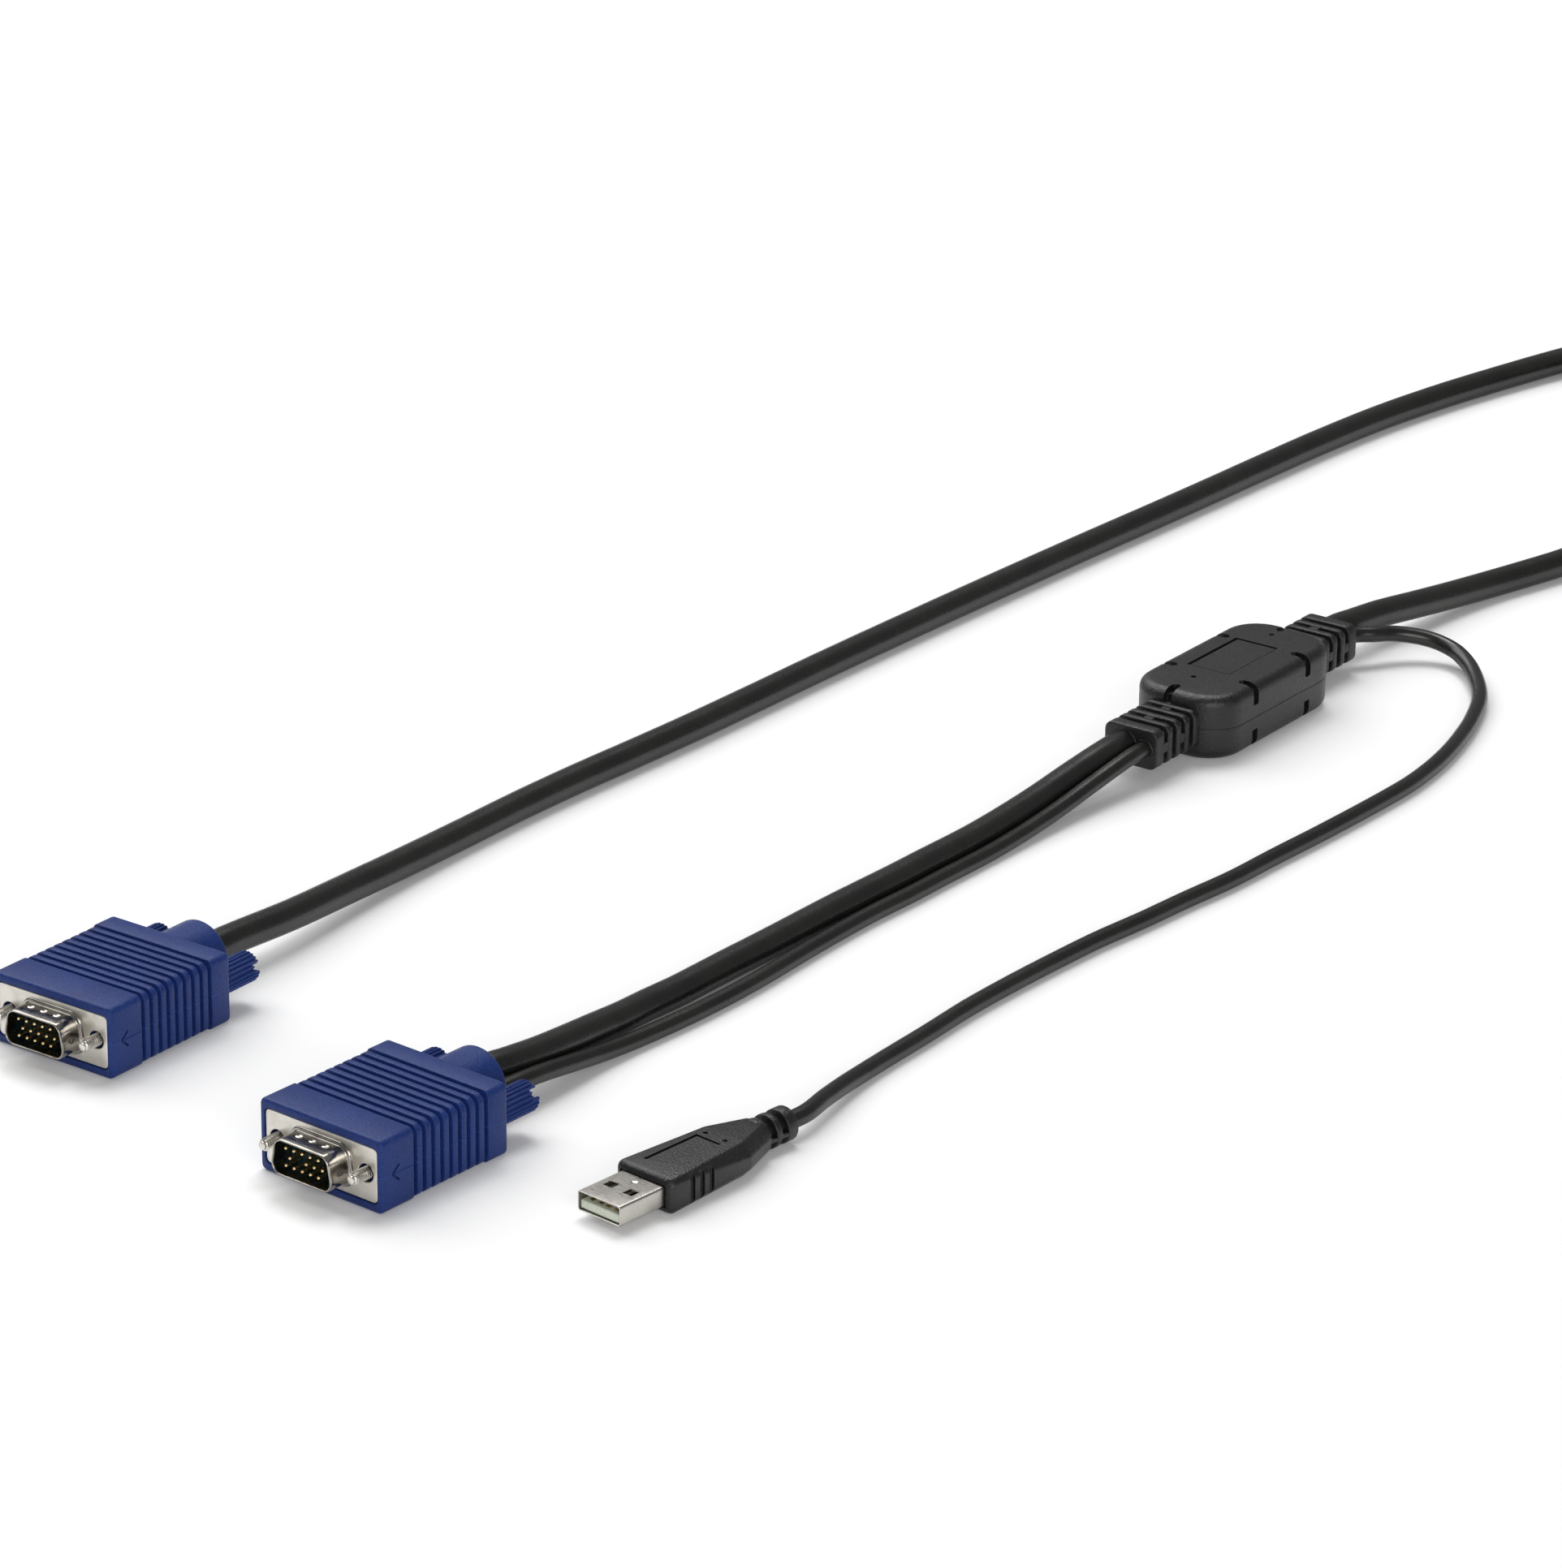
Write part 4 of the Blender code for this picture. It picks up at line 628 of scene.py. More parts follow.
def hood(prefix, place):
    """The ribbed blue moulding with its boot."""
    plain_outline = outline(rectangle(HOOD_W, HOOD_H), 1.5)
    rib_outline = outline(rectangle(HOOD_W - 0.1, HOOD_H - 0.1), 2.1)
    seat = outline(rectangle(FLANGE_W + 0.3, FLANGE_H + 0.3), 1.3)
    stations = [(1.3, seat), (0.1, seat), (0.0, offset(seat, 0.08))]
    stations += [(along, offset(plain_outline, -inset)) for along, inset in rounding(0.8)]
    pitch = (HOOD_L - FRONT_PLAIN - REAR_PLAIN - GROOVE_W) / (GROOVES - 1)
    for index in range(GROOVES):
        start = FRONT_PLAIN + index * pitch
        for along, inset in groove(start, GROOVE_W, GROOVE_DEEP, lip=0.18):
            before_first = index == 0 and along <= start and inset < GROOVE_DEEP - 0.2
            after_last = index == GROOVES - 1 and along >= start + GROOVE_W and inset < GROOVE_DEEP - 0.2
            shape = plain_outline if before_first or after_last else rib_outline
            stations.append((along, offset(shape, -inset)))
    stations += [(HOOD_L - along, offset(plain_outline, -inset))
                 for along, inset in reversed(rounding(0.8))]
    work = bmesh.new()
    sweep(work, stations, centre=(0, 0, PLUG_MIDDLE))
    boot = [(HOOD_L - 0.9, BOOT_D), (BOOT_END - 1.0, BOOT_D)]
    boot += [(BOOT_END - along, BOOT_D - 2 * inset) for along, inset in reversed(rounding(0.8))]
    round_boot = bmesh.new()
    sweep(round_boot, [(along, circle(width, 48)) for along, width in boot],
          centre=(0, 0, PLUG_MIDDLE))
    bores = bmesh.new()
    for side in (-1, 1):
        rod(bores, 4.1, 0.6, 8.0, side * SCREW_SIDE, PLUG_MIDDLE)
    cut(work, bores)
    cut(work, direction_marks())
    cut(work, round_boot, "UNION")
    return finished(f"{prefix}_plug_hood", work, place, BLUE_HOOD, [f"{prefix}_hood"])


def direction_marks():
    """An engraved open arrowhead on each side of the hood, with a hair-thin line behind it."""
    work = bmesh.new()
    for side in (-1, 1):
        wall = side * HOOD_W / 2
        for rise in (-1, 1):
            stroke = bmesh.new()
            block(stroke, (-0.6, -0.1, -0.25), (0.6, 2.8, 0.25))
            lean = Matrix.Rotation(math.radians(rise * 40), 4, "X")
            bmesh.ops.transform(stroke, verts=stroke.verts,
                                matrix=Matrix.Translation((wall, 3.1, PLUG_MIDDLE)) @ lean)
            mesh = bpy.data.meshes.new("stroke")
            stroke.to_mesh(mesh)
            stroke.free()
            work.from_mesh(mesh)
            bpy.data.meshes.remove(mesh)
        block(work, (wall - 0.12, 3.5, PLUG_MIDDLE - 0.1), (wall + 0.12, 9.4, PLUG_MIDDLE + 0.1))
    return work


hood("console", CONSOLE)
hood("server", SERVER)

# %% [markdown]
# ## The metal shell and flange
# The flange and its D-shaped shroud are stamped from one sheet. The sheet is drawn out, so a
# soft ridge stands round the shroud's root, and its front lip is rolled inwards. Three small
# dents on top grip the socket. The D's wide side is down. The setbacks of its corners follow from
# the 10 degree lean of its sides and a radius of 2.6 mm.

# %% Shell and flange
LEAN = math.radians(10)
D_HALF = 8.45 - (4.2 - 2.6) * math.tan(LEAN) + 2.6 * (1 / math.cos(LEAN) - 1)
D_LOW, D_HIGH = D_HALF + 4.2 * math.tan(LEAN), D_HALF - 4.2 * math.tan(LEAN)
D_CORNERS = [(D_HIGH, 4.2), (-D_HIGH, 4.2), (-D_LOW, -4.2), (D_LOW, -4.2)]
D_NARROW = 2.6 / math.tan(math.radians(50))
D_WIDE = 2.6 / math.tan(math.radians(40))
D_SHAPE = outline(D_CORNERS, [D_NARROW, D_NARROW, D_WIDE, D_WIDE], 8)


def front_shell(prefix, place):
    """The flange plate with its two holes, and the shroud that grows out of it."""
    plate_outline = outline(rectangle(FLANGE_W, FLANGE_H), 1.2)
    plate = [(1.0, plate_outline)] + [(0.2 + along, offset(plate_outline, -inset))
                                      for along, inset in reversed(rounding(0.3, 3))]
    work = bmesh.new()
    sweep(work, plate, centre=(0, 0, PLUG_MIDDLE))
    holes = bmesh.new()
    for side in (-1, 1):
        rod(holes, 4.1, -1.0, 2.0, side * SCREW_SIDE, PLUG_MIDDLE)
        rod(holes, 4.7, 0.1, 0.4, side * SCREW_SIDE, PLUG_MIDDLE, end_diameter=3.9)
    cut(work, holes)
    plate_piece = finished(f"{prefix}_flange", work, place, FLANGE_NICKEL)

    shroud = bmesh.new()
    profile = [(0.5, 0.85), (0.2, 0.85), (0.0, 0.8), (-0.16, 0.7), (-0.27, 0.52), (-0.3, 0.34),
               (-0.33, 0.2), (-0.42, 0.08), (-0.6, 0.0), (-2.0, 0.0), (-4.0, 0.0), (-5.5, 0.0),
               (-5.72, -0.03), (-5.86, -0.12), (-5.9, -0.25), (-5.86, -0.38), (-5.72, -0.47),
               (-5.5, -0.5), (0.5, -0.5)]
    sweep(shroud, [(along, offset(D_SHAPE, grow)) for along, grow in profile],
          centre=(0, 0, PLUG_MIDDLE), closed_ring=True)
    dents = bmesh.new()
    for x in (-3.7, 0.0, 3.7):
        bmesh.ops.create_uvsphere(dents, u_segments=32, v_segments=24, radius=1.9,
                                  matrix=Matrix.Translation((x, -2.7, PLUG_MIDDLE + 5.74)))
    for side in (-1, 1):
        bmesh.ops.create_uvsphere(dents, u_segments=24, v_segments=16, radius=1.3,
                                  matrix=Matrix.Translation((side * 9.5, -2.95, PLUG_MIDDLE)))
    cut(shroud, dents)
    return finished(f"{prefix}_shroud", shroud, place, NICKEL, [f"{prefix}_front_shell"])


front_shell("console", CONSOLE)
front_shell("server", SERVER)

# %% [markdown]
# ## Insulator and contacts
# The dark block inside the shroud holds fifteen round contacts in three rows, the middle row half
# a step aside. Each contact has a small countersunk seat and a rounded tip. One plug has all
# fifteen. The other leaves out number nine, as most such plugs do, so its seat stays empty.

# %% Insulator and contacts
PIN_STEP, ROW_STEP = 2.29, 1.98


def contact_places():
    """Number, x and height of each contact, counted from the right of the lowest row."""
    for row in range(3):
        shift = PIN_STEP / 4 if row == 1 else -PIN_STEP / 4
        for column in range(5):
            yield (row + 1) * 5 - column, (column - 2) * PIN_STEP + shift, \
                PLUG_MIDDLE + (row - 1) * ROW_STEP


def insulator(prefix, place):
    """The glossy dark block with its countersunk seats."""
    body = offset(D_SHAPE, -0.53)
    stations = [(6.5, body), (-0.3, body), (-0.44, offset(body, -0.05)), (-0.5, offset(body, -0.18))]
    work = bmesh.new()
    sweep(work, stations, centre=(0, 0, PLUG_MIDDLE))
    seats = bmesh.new()
    for _, x, z in contact_places():
        rod(seats, 1.5, -0.6, -0.2, x, z, 16, end_diameter=0.9)
        rod(seats, 0.94, -0.4, 2.0, x, z, 16)
    cut(work, seats)
    return finished(f"{prefix}_insulator_block", work, place, INSULATOR,
                    [f"{prefix}_insulator"])


def contacts(prefix, place, missing=()):
    """The gold contacts of one plug, as one piece."""
    work = bmesh.new()
    nodes = []
    for number, x, z in contact_places():
        if number in missing:
            continue
        stations = [(6.5, circle(0.8, 14)), (-4.65, circle(0.8, 14)), (-4.86, circle(0.74, 14)),
                    (-5.01, circle(0.56, 14)), (-5.1, circle(0.24, 14))]
        sweep(work, stations, centre=(x, 0, z))
        nodes.append(f"{prefix}_pin_{number:02d}")
    return finished(f"{prefix}_contacts", work, place, GOLD, nodes)


insulator("console", CONSOLE)
insulator("server", SERVER)
contacts("console", CONSOLE)
contacts("server", SERVER, missing=(9,))

# %% [markdown]
# ## Thumb screws
# A thin steel screw runs right through the hood on each side. Its front end has a real rolled
# thread: a small triangle spun round the axis while it moves along, 0.635 mm for each turn. At
# the back it is pressed into a blue grip with fine straight flutes, a domed end and a slot for a
# driver. Each screw turns by itself, so both pieces ride on that screw's body.

# %% Thumb screws
THREAD_STEP, THREAD_CREST, THREAD_ROOT = 0.635, 1.42, 0.99


def screw(prefix, hand, place):
    """The threaded rod: a smooth core, and the thread spun round its front end."""
    x = -SCREW_SIDE if hand == "left" else SCREW_SIDE
    work = bmesh.new()
    core = [(46.0, 2.3), (2.0, 2.3), (-4.1, 2 * THREAD_ROOT + 0.04), (-4.3, 1.9), (-4.4, 1.5)]
    sweep(work, [(along, circle(width, 20)) for along, width in core], centre=(x, 0, PLUG_MIDDLE))
    heights = ((0.0, THREAD_ROOT), (0.1, THREAD_ROOT + 0.03), (0.27, THREAD_CREST - 0.02),
               (0.365, THREAD_CREST - 0.02), (0.535, THREAD_ROOT + 0.03), (0.635, THREAD_ROOT))
    front = -4.25
    verts = [work.verts.new((x, front + along, PLUG_MIDDLE + radius)) for along, radius in heights]
    edges = [work.edges.new(pair) for pair in zip(verts, verts[1:])]
    turns, steps = 8, 24
    before = set(work.verts)
    bmesh.ops.spin(work, geom=verts + edges, cent=(x, 0, PLUG_MIDDLE), axis=(0, 1, 0),
                   dvec=(0, THREAD_STEP / steps, 0), angle=math.tau * turns, steps=turns * steps)
    thread = [vert for vert in work.verts if vert not in before] + verts
    bmesh.ops.remove_doubles(work, verts=thread, dist=0.002)
    for vert in work.verts:
        away = Vector((vert.co.x - x, vert.co.z - PLUG_MIDDLE))
        if vert.co.y < front + 0.8 and away.length > THREAD_ROOT:
            share = ease((vert.co.y - front + 0.1) / 0.8)
            away *= (THREAD_ROOT + (away.length - THREAD_ROOT) * share) / away.length
            vert.co.x, vert.co.z = x + away.x, PLUG_MIDDLE + away.y
    return finished(f"{prefix}_{hand}_threaded_rod", work, place, SCREW_STEEL,
                    [f"{prefix}_{hand}_screw"], f"{prefix}_{hand}_thumbscrew")


def fluted(diameter, depth, flutes=22):
    """A round outline with fine round-bottomed flutes."""
    waves = (0.0, 0.0, 0.25, 0.85, 1.0, 0.85, 0.25)
    points = circle(diameter, flutes * len(waves))
    return [point * (1 - 2 * depth * waves[i % len(waves)] / diameter)
            for i, point in enumerate(points)]


def grip(prefix, hand, place, slot_degrees):
    """The fluted blue grip, with a domed end and a driver slot across it."""
    x = -SCREW_SIDE if hand == "left" else SCREW_SIDE
    start, end = 38.8, 50.3
    stations = [(start, fluted(6.5, 0.0)), (start + 0.1, fluted(7.0, 0.1)),
                (start + 0.4, fluted(7.3, 0.45)), (end - 1.2, fluted(7.3, 0.5))]
    for along, inset in reversed(rounding(1.1, 5)):
        stations.append((end - along, fluted(7.3 - 2 * inset, 0.5 * (1 - inset / 1.1) ** 0.5)))
    work = bmesh.new()
    sweep(work, stations, centre=(x, 0, PLUG_MIDDLE))
    slot = bmesh.new()
    block(slot, (-5, end - 2.3, -1.0), (5, end + 1, 1.0))
    turn = Matrix.Translation((x, 0, PLUG_MIDDLE)) @ Matrix.Rotation(math.radians(slot_degrees), 4, "Y")
    bmesh.ops.transform(slot, verts=slot.verts, matrix=turn)
    cut(work, slot)
    return finished(f"{prefix}_{hand}_fluted_grip", work, place, BLUE_HOOD,
                    [f"{prefix}_{hand}_grip"], f"{prefix}_{hand}_thumbscrew")


for prefix, place, slot_degrees in (("console", CONSOLE, -8), ("server", SERVER, -30)):
    for hand in ("left", "right"):
        screw(prefix, hand, place)
        grip(prefix, hand, place, slot_degrees)

# %% [markdown]
# ## The data plug
# The small plug has a folded steel shell with two square windows on each broad side, a pale
# tongue inside with four gold contacts, and a black overmould. The overmould's corners are cut
# off, more so towards the back, and three grooves on each side notch them. It ends in a short
# round boot with slits that let it bend.

# %% Data plug overmould
SHELL_REACH, BODY_STRAIGHT, BODY_TAPER = 13.0, 24.2, 9.9
BOOT_CORE = 5.0
BOOT_RINGS = ((-1.2, 0.9), (2.8, 4.4), (6.3, 9.3))


def cut_corner_outline(width, height, chamfer):
    """A rectangle with its corners cut off, and each new corner slightly rounded."""
    w, h, c = width / 2, height / 2, chamfer
    corners = [(w, h - c), (w - c, h), (c - w, h), (-w, h - c),
               (-w, c - h), (c - w, -h), (w - c, -h), (w, c - h)]
    return outline(corners, min(0.4, 0.4 * c), 2)


def data_body(place):
    """The black overmould with its chamfers, grip grooves, engraved marks and slit boot."""
    front = SHELL_REACH
    taper = front + BODY_STRAIGHT
    rear = taper + BODY_TAPER
    stations = [(front + along, cut_corner_outline(16 - 2 * inset, 8 - 2 * inset, 1.0))
                for along, inset in rounding(1.6, 5)]
    for share in (0.33, 0.66, 1.0):
        chamfer = 1.0 + 1.6 * share
        stations.append((front + 1.2 + (BODY_STRAIGHT - 1.4) * share,
                         cut_corner_outline(16, 8, chamfer)))
    for share in (0.05, 0.35, 0.7, 0.95):
        width = 16 - (16 - 9.4) * share
        stations.append((taper + BODY_TAPER * share,
                         cut_corner_outline(width, 8 - 0.6 * share, 2.6)))
    stations.append((rear, cut_corner_outline(8.8, 7.2, 2.5)))
    work = bmesh.new()
    sweep(work, stations, centre=(0, 0, DATA_MIDDLE))
    cuts = bmesh.new()
    for side in (-1, 1):
        for index in range(3):
            start = front + 5.9 + 2.85 * index
            block(cuts, (side * 8 - 0.85, start, -1), (side * 8 + 0.85, start + 1.35, 9), 0.2, 3)
    block(cuts, (-6.45, front - 1, DATA_MIDDLE - 2.5), (6.45, front + 0.6, DATA_MIDDLE + 2.5))
    cut(work, cuts)
    marks = bmesh.new()
    top = 8.0
    block(marks, (-4.0, front + 4.4, top - 0.45), (-3.15, front + 20.3, top + 0.3))
    block(marks, (-3.15, front + 19.6, top - 0.45), (2.9, front + 20.3, top + 0.3))
    for x in (-3.0, 2.5):
        bmesh.ops.create_cone(marks, cap_ends=True, segments=20, radius1=0.55, radius2=0.6,
                              depth=2.6, matrix=Matrix.Translation((x, front + 22.0, top)))
    cut(work, marks)
    core = [(rear - 0.8, BOOT_CORE), (DATA_END - 0.3, BOOT_CORE)]
    sweep(work, [(along, circle(width, 32)) for along, width in core], centre=(0, 0, DATA_MIDDLE))
    for start, end in BOOT_RINGS:
        ring = [(rear + start + along, circle(7.8 - 2 * inset, 40)) for along, inset in rounding(0.3, 4)]
        ring += [(rear + end - along, circle(7.8 - 2 * inset, 40))
                 for along, inset in reversed(rounding(0.3, 4))]
        sweep(work, ring, centre=(0, 0, DATA_MIDDLE))
    for here, after in zip(BOOT_RINGS, BOOT_RINGS[1:]):
        for side in (-1, 1):
            low, high = sorted((side * 2.3, side * 3.75))
            block(work, (low, rear + here[1] - 0.4, DATA_MIDDLE - 1.0),
                  (high, rear + after[0] + 0.4, DATA_MIDDLE - 0.1), 0.15, 2)
    return finished("data_plug_body", work, place, BLACK_MOULD, ["data_body"])


data_body(DATA)

# %% Data plug shell, tongue and contacts
def data_shell(place):
    """The folded shell: a thin sleeve with rounded edges and four square windows."""
    shape = outline(rectangle(12.0, 4.5), 0.6, 5)
    profile = [(19.0, 0.0), (0.35, 0.0), (0.1, -0.03), (0.0, -0.12), (0.0, -0.2), (0.1, -0.28),
               (0.35, -0.3), (19.0, -0.3)]
    work = bmesh.new()
    sweep(work, [(along, offset(shape, grow)) for along, grow in profile],
          centre=(0, 0, DATA_MIDDLE), closed_ring=True)
    windows = bmesh.new()
    for x in (-2.8, 2.8):
        for rise in (-1, 1):
            wall = DATA_MIDDLE + rise * 2.25
            block(windows, (x - 1.25, 5.35, wall - 0.7), (x + 1.25, 7.85, wall + 0.7), 0.12, 2)
    cut(work, windows)
    dimple = bmesh.new()
    for rise in (-1, 1):
        bmesh.ops.create_uvsphere(dimple, u_segments=32, v_segments=24, radius=1.6,
                                  matrix=Matrix.Translation((0, 10.5, DATA_MIDDLE + rise * 3.62)))
    cut(work, dimple)
    return finished("data_plug_shell", work, place, ROLLED_NICKEL, ["data_shell"])


def data_tongue(place):
    """The pale tongue, and its four flat contacts."""
    low = DATA_MIDDLE - 2.25 + 0.6
    top = low + 1.9
    work = bmesh.new()
    block(work, (-5.4, 0.3, low), (5.4, 18.9, top), 0.25, 3)
    grooves = bmesh.new()
    for x in (-3.5, -1.0, 1.0, 3.5):
        block(grooves, (x - 0.62, 0.9, top - 0.1), (x + 0.62, 12.0, top + 1))
    cut(work, grooves)
    finished("data_plug_tongue", work, place, TONGUE, ["data_tongue"])
    strips = bmesh.new()
    for x in (-3.5, -1.0, 1.0, 3.5):
        block(strips, (x - 0.5, 1.4, top - 0.3), (x + 0.5, 11.6, top + 0.12), 0.08, 2)
    return finished("data_plug_contacts", strips, place, GOLD)


data_shell(DATA)
data_tongue(DATA)

# %% [markdown]
# ## The converter block
# The block is one black moulding over a small circuit board. Seen from above it is a rounded
# rectangle, and its edges are rounded all round. A fine recessed line at mid height marks where
# the mould closed. Each end has a strain relief: a stub cut by slits, each slit bridged on two
# opposite sides, the next one on the other two, so that it bends every way.

# %% Converter housing
BLOCK_W, BLOCK_L, BLOCK_H = 28.0, 56.0, 16.4
SLOT_HALF = 1.15


def edge_slots():
    """Slots over the block's top and bottom edges, pointed at their inner end, as cutters."""
    work = bmesh.new()
    places = [("X", side * BLOCK_W / 2, y, 5.0) for side in (-1, 1) for y in (-12.0, 12.0)]
    places += [("Y", end * BLOCK_L / 2, -1.5, 4.4) for end in (-1, 1)]
    for axis, wall, along, drop in places:
        out = 1 if wall > 0 else -1
        for rise in (-1, 1):
            face = BLOCK_H if rise > 0 else 0.0
            inner, depth = abs(wall) - 1.7, 1.5
            start = abs(wall) - (5.3 if rise > 0 else 1.5)
            low, high = sorted((face - rise * drop, face + rise * 1.0))
            stroke = bmesh.new()
            block(stroke, (inner, along - SLOT_HALF, low), (abs(wall) + 1, along + SLOT_HALF, high), 0.25, 3)
            shelf_low, shelf_high = sorted((face - rise * depth, face + rise * 1.0))
            block(stroke, (start + 0.9, along - SLOT_HALF, shelf_low),
                  (abs(wall) + 1, along + SLOT_HALF, shelf_high))
            point = [Vector((start, along)), Vector((start + 1.1, along + SLOT_HALF)),
                     Vector((start + 1.1, along - SLOT_HALF))]
            sweep(stroke, [(shelf_low, point), (shelf_high, point)], axis="Z")
            swap = Matrix.Rotation(math.radians(0 if axis == "X" else 90), 4, "Z")
            if axis == "Y":
                swap = Matrix(((0, 1, 0, 0), (1, 0, 0, 0), (0, 0, 1, 0), (0, 0, 0, 1)))
            mirror = Matrix.Diagonal((out, 1, 1, 1)) if axis == "X" else Matrix.Diagonal((1, out, 1, 1))
            bmesh.ops.transform(stroke, verts=stroke.verts, matrix=mirror @ swap)
            mesh = bpy.data.meshes.new("stroke")
            bmesh.ops.recalc_face_normals(stroke, faces=stroke.faces)
            stroke.to_mesh(mesh)
            stroke.free()
            work.from_mesh(mesh)
            bpy.data.meshes.remove(mesh)
    return work


def housing(place):
    """The block's body with its seam, slots and engraved marks."""
    plan = outline(rectangle(BLOCK_W, BLOCK_L), 10.0, 12)
    heights = [(along, inset) for along, inset in rounding(2.8, 8)]
    seam = groove(BLOCK_MIDDLE - 0.08, 0.16, 0.07, lip=0.06, floor=0.04)
    heights += [(7.4, 0.0)] + seam + [(9.0, 0.0)]
    heights += [(BLOCK_H - along, inset) for along, inset in reversed(rounding(2.8, 8))]
    work = bmesh.new()
    sweep(work, [(z, offset(plan, -inset)) for z, inset in heights], axis="Z")
    cut(work, edge_slots())
    marks = bmesh.new()
    top = BLOCK_H
    block(marks, (-7.4, -10.0, top - 0.6), (-6.4, 12.7, top + 0.5))
    block(marks, (-6.4, 11.8, top - 0.6), (4.8, 12.7, top + 0.5))
    for y in (-16.2, 19.8):
        bmesh.ops.create_cone(marks, cap_ends=True, segments=24, radius1=0.66, radius2=0.72,
                              depth=2.8, matrix=Matrix.Translation((-1.5, y, top)))
    cut(work, marks)
    lines = bmesh.new()
    block(lines, (-6.4, -10.0, top - 0.1), (4.8, -9.82, top + 0.5))
    block(lines, (4.62, -9.82, top - 0.1), (4.8, 11.8, top + 0.5))
    cut(work, lines)
    return finished("converter_body", work, place, BLACK_MOULD,
                    ["converter_housing"])


housing(BLOCK)

# %% Strain reliefs of the converter
def relief(end, place):
    """One slit stub with its bridges and plain end block."""
    shape = outline(rectangle(15.0, 10.0), 2.2, 6)
    inset_limit = 1.6
    stations = [(22.0, shape)]
    slits = []
    for row in reversed(range(4)):
        far = RELIEF_END - 3.6 - row * 3.8
        slits.append((row, far - 1.7))
        stations += [(along, offset(shape, -inset))
                     for along, inset in groove(far - 1.75, 1.8, inset_limit, 0.45, 0.2)]
    stations += [(RELIEF_END - along, offset(shape, -inset))
                 for along, inset in reversed(rounding(0.45, 3))]
    work = bmesh.new()
    sweep(work, stations, centre=(0, 0, BLOCK_MIDDLE))
    bridges = bmesh.new()
    for row, start in slits:
        for side in (-1, 1):
            if row % 2 == 0:
                low, high = (side * 6.6 - 0.8, start - 0.5, BLOCK_MIDDLE - 1.2), \
                    (side * 6.6 + 0.8, start + 2.2, BLOCK_MIDDLE + 1.2)
            else:
                low, high = (-1.2, start - 0.5, BLOCK_MIDDLE + side * 4.1 - 0.8), \
                    (1.2, start + 2.2, BLOCK_MIDDLE + side * 4.1 + 0.8)
            block(bridges, low, high, 0.12, 2)
    mesh = bpy.data.meshes.new("bridges")
    bridges.to_mesh(mesh)
    bridges.free()
    work.from_mesh(mesh)
    bpy.data.meshes.remove(mesh)
    for x, width in ((THICK_SIDE, THICK), (THIN_SIDE, THIN)):
        ring = [(RELIEF_END - 0.5, circle(width + 0.9, 40)), (RELIEF_END + 0.12, circle(width + 0.9, 40)),
                (RELIEF_END + 0.22, circle(width + 0.6, 40)), (RELIEF_END + 0.22, circle(width + 0.1, 40))]
        sweep(work, ring, centre=(x * end, 0, BLOCK_MIDDLE))
    turn = Matrix.Rotation(math.radians(0 if end > 0 else 180), 4, "Z")
    bmesh.ops.transform(work, verts=work.verts, matrix=turn)
    side = "far" if end > 0 else "near"
    return finished(f"{side}_strain_relief", work, place, BLACK_MOULD)


relief(1, BLOCK)
relief(-1, BLOCK)

# %% [markdown]
# ## The studio
# The photograph is a product picture on white. The floor is a plain sheet that is white to the
# camera away from the object, and keeps the soft shadows. The main light is a very large soft box
# high on the left, so that no flat top mirrors it towards the camera. A smaller one overhead, a
# little behind, draws the bright lines along the rounded edges, and a weak one in front opens the
# near faces. The lamps stay at a plain level, at which a colour renders about as it is written.

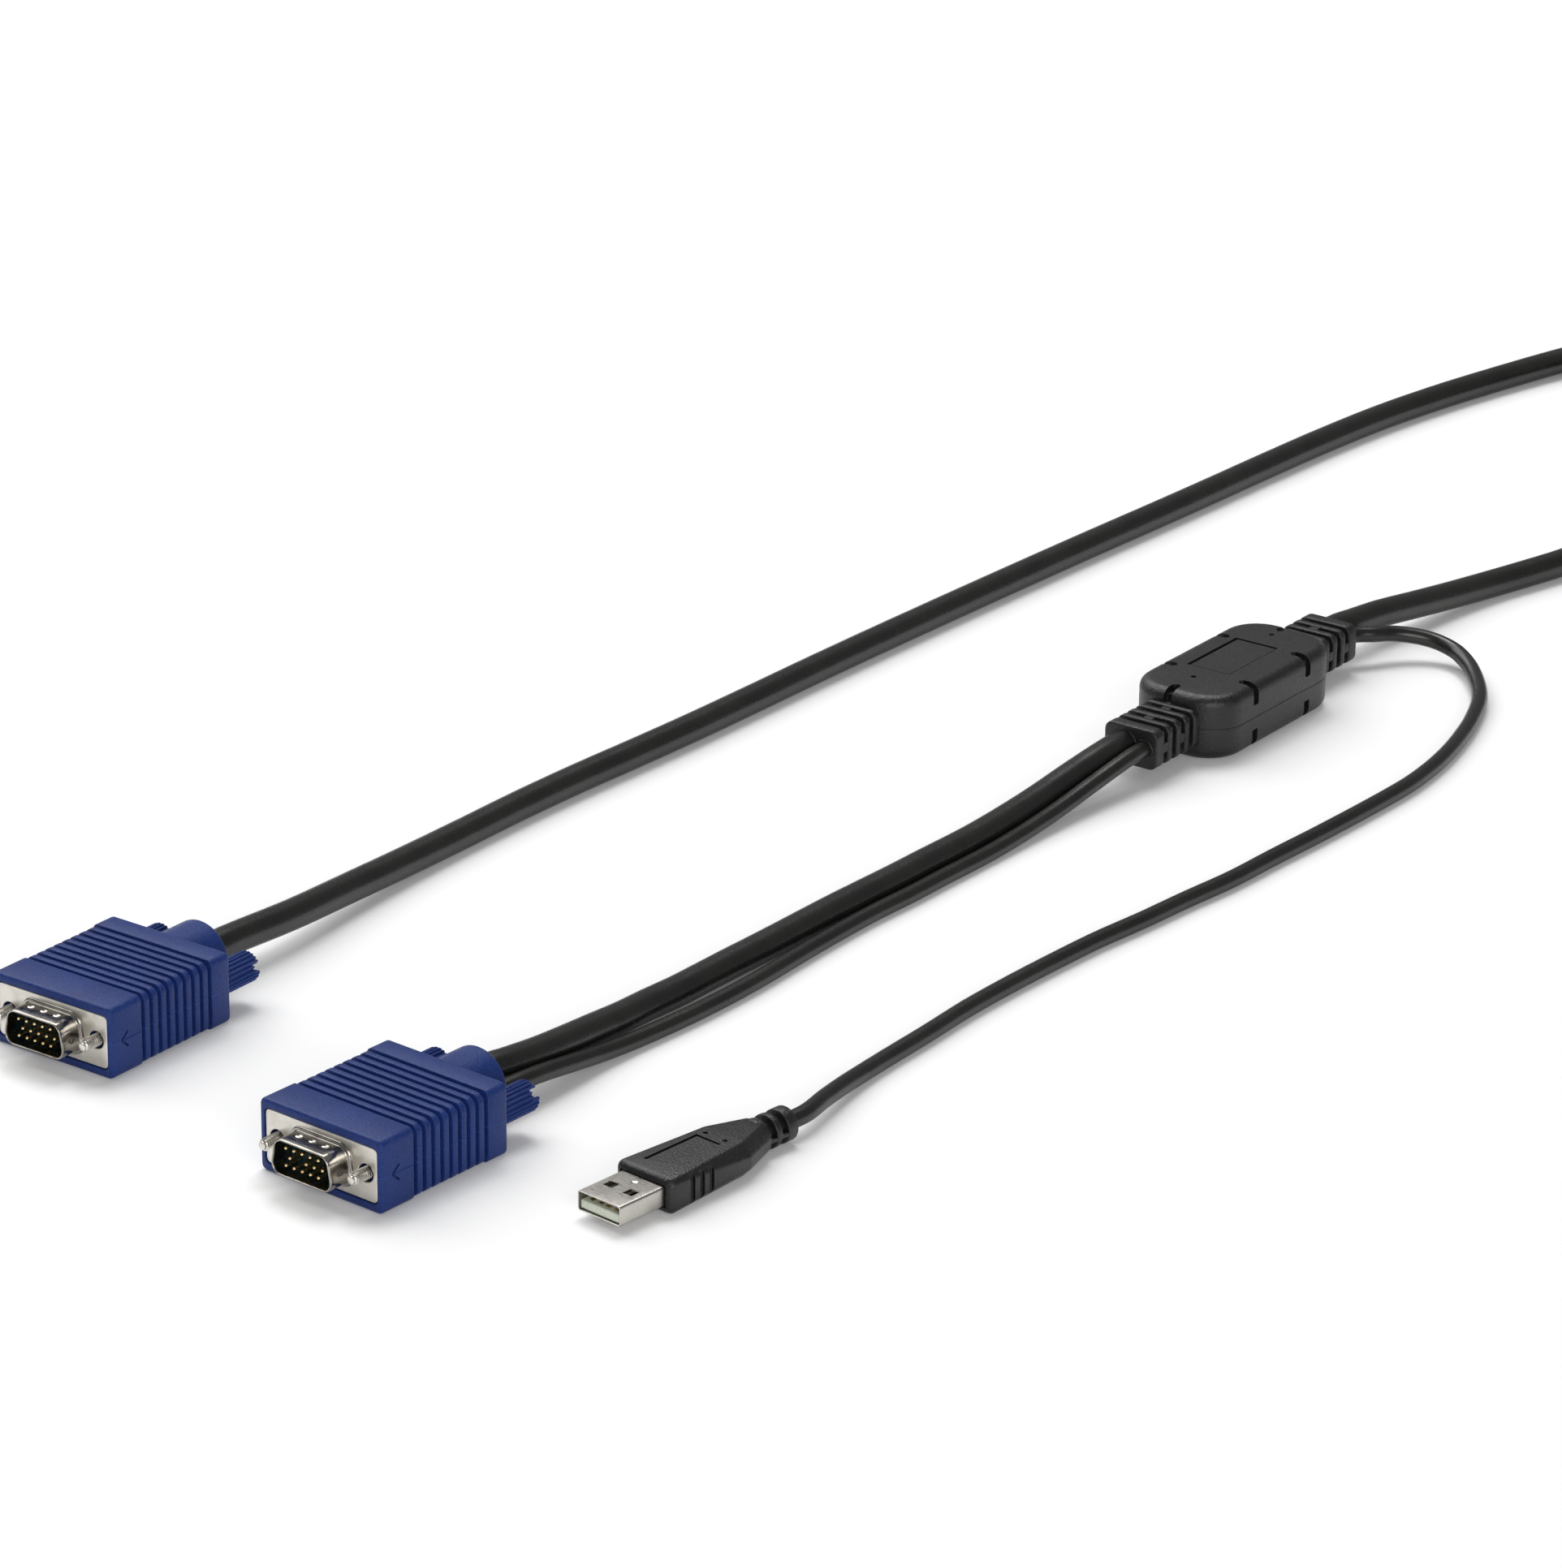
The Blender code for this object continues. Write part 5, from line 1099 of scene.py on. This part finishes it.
# %% Floor
def studio_floor():
    """A pale sheet. Part of its white is its own for the camera, the rest is lit and takes shadows."""
    work = bmesh.new()
    bmesh.ops.create_grid(work, x_segments=1, y_segments=1, size=6.0)
    mesh = bpy.data.meshes.new("studio_floor")
    work.to_mesh(mesh)
    work.free()
    floor = bpy.data.objects.new("studio_floor", mesh)
    bpy.context.scene.collection.objects.link(floor)
    material = bpy.data.materials.new("white_sheet")
    material.use_nodes = True
    tree = material.node_tree
    tree.nodes.clear()
    sheet = add(tree, "ShaderNodeBsdfDiffuse", {"Color": linear("f4f4f4")})
    ray = add(tree, "ShaderNodeLightPath").outputs
    seen = add(tree, "ShaderNodeMath", {0: ray["Is Camera Ray"], 1: ray["Is Glossy Ray"]},
               operation="MAXIMUM")
    seen = add(tree, "ShaderNodeMath", {0: seen.outputs[0], 1: ray["Is Transmission Ray"]},
               operation="MAXIMUM")
    share = add(tree, "ShaderNodeMath", {0: seen.outputs[0], 1: 0.06}, operation="MULTIPLY")
    glow = add(tree, "ShaderNodeEmission", {"Color": (1, 1, 1, 1), "Strength": share.outputs[0]})
    both = add(tree, "ShaderNodeAddShader", {0: sheet.outputs[0], 1: glow.outputs[0]})
    add(tree, "ShaderNodeOutputMaterial", {"Surface": both.outputs[0]})
    mesh.materials.append(material)
    return floor


studio_floor()

# %% World and lamps
bpy.context.scene.view_settings.view_transform = "Standard"
world = bpy.data.worlds.new("studio")
bpy.context.scene.world = world
world.use_nodes = True
tree = world.node_tree
tree.nodes.clear()
backdrop = add(tree, "ShaderNodeBackground", {"Color": (1, 1, 1, 1), "Strength": 0.22})
add(tree, "ShaderNodeOutputWorld", {"Surface": backdrop.outputs[0]})


def soft_box(name, towards, distance, size, share):
    """A square soft box that gives a flat sheet facing it this share of full white."""
    towards = Vector(towards).normalized()
    lamp = bpy.data.lights.new(name, "AREA")
    lamp.shape = "RECTANGLE"
    lamp.size, lamp.size_y = size
    lamp.energy = share * math.pi * math.pi * distance ** 2
    holder = bpy.data.objects.new(name, lamp)
    bpy.context.scene.collection.objects.link(holder)
    middle = Vector((-0.03, -0.1, 0))
    holder.matrix_world = (Matrix.Translation(middle + towards * distance)
                           @ towards.to_track_quat("Z", "Y").to_matrix().to_4x4())
    print(name, round(lamp.energy, 1), "W")


soft_box("key_box", (-0.75, 0.1, 0.85), 3.2, (2.9, 2.9), 0.72)
soft_box("top_box", (-0.2, 0.35, 0.95), 3.2, (1.3, 1.3), 0.38)
soft_box("front_fill", (0.75, -0.6, 0.36), 3.2, (2.0, 1.4), 0.42)

# %% Update the scene
bpy.context.view_layer.update()
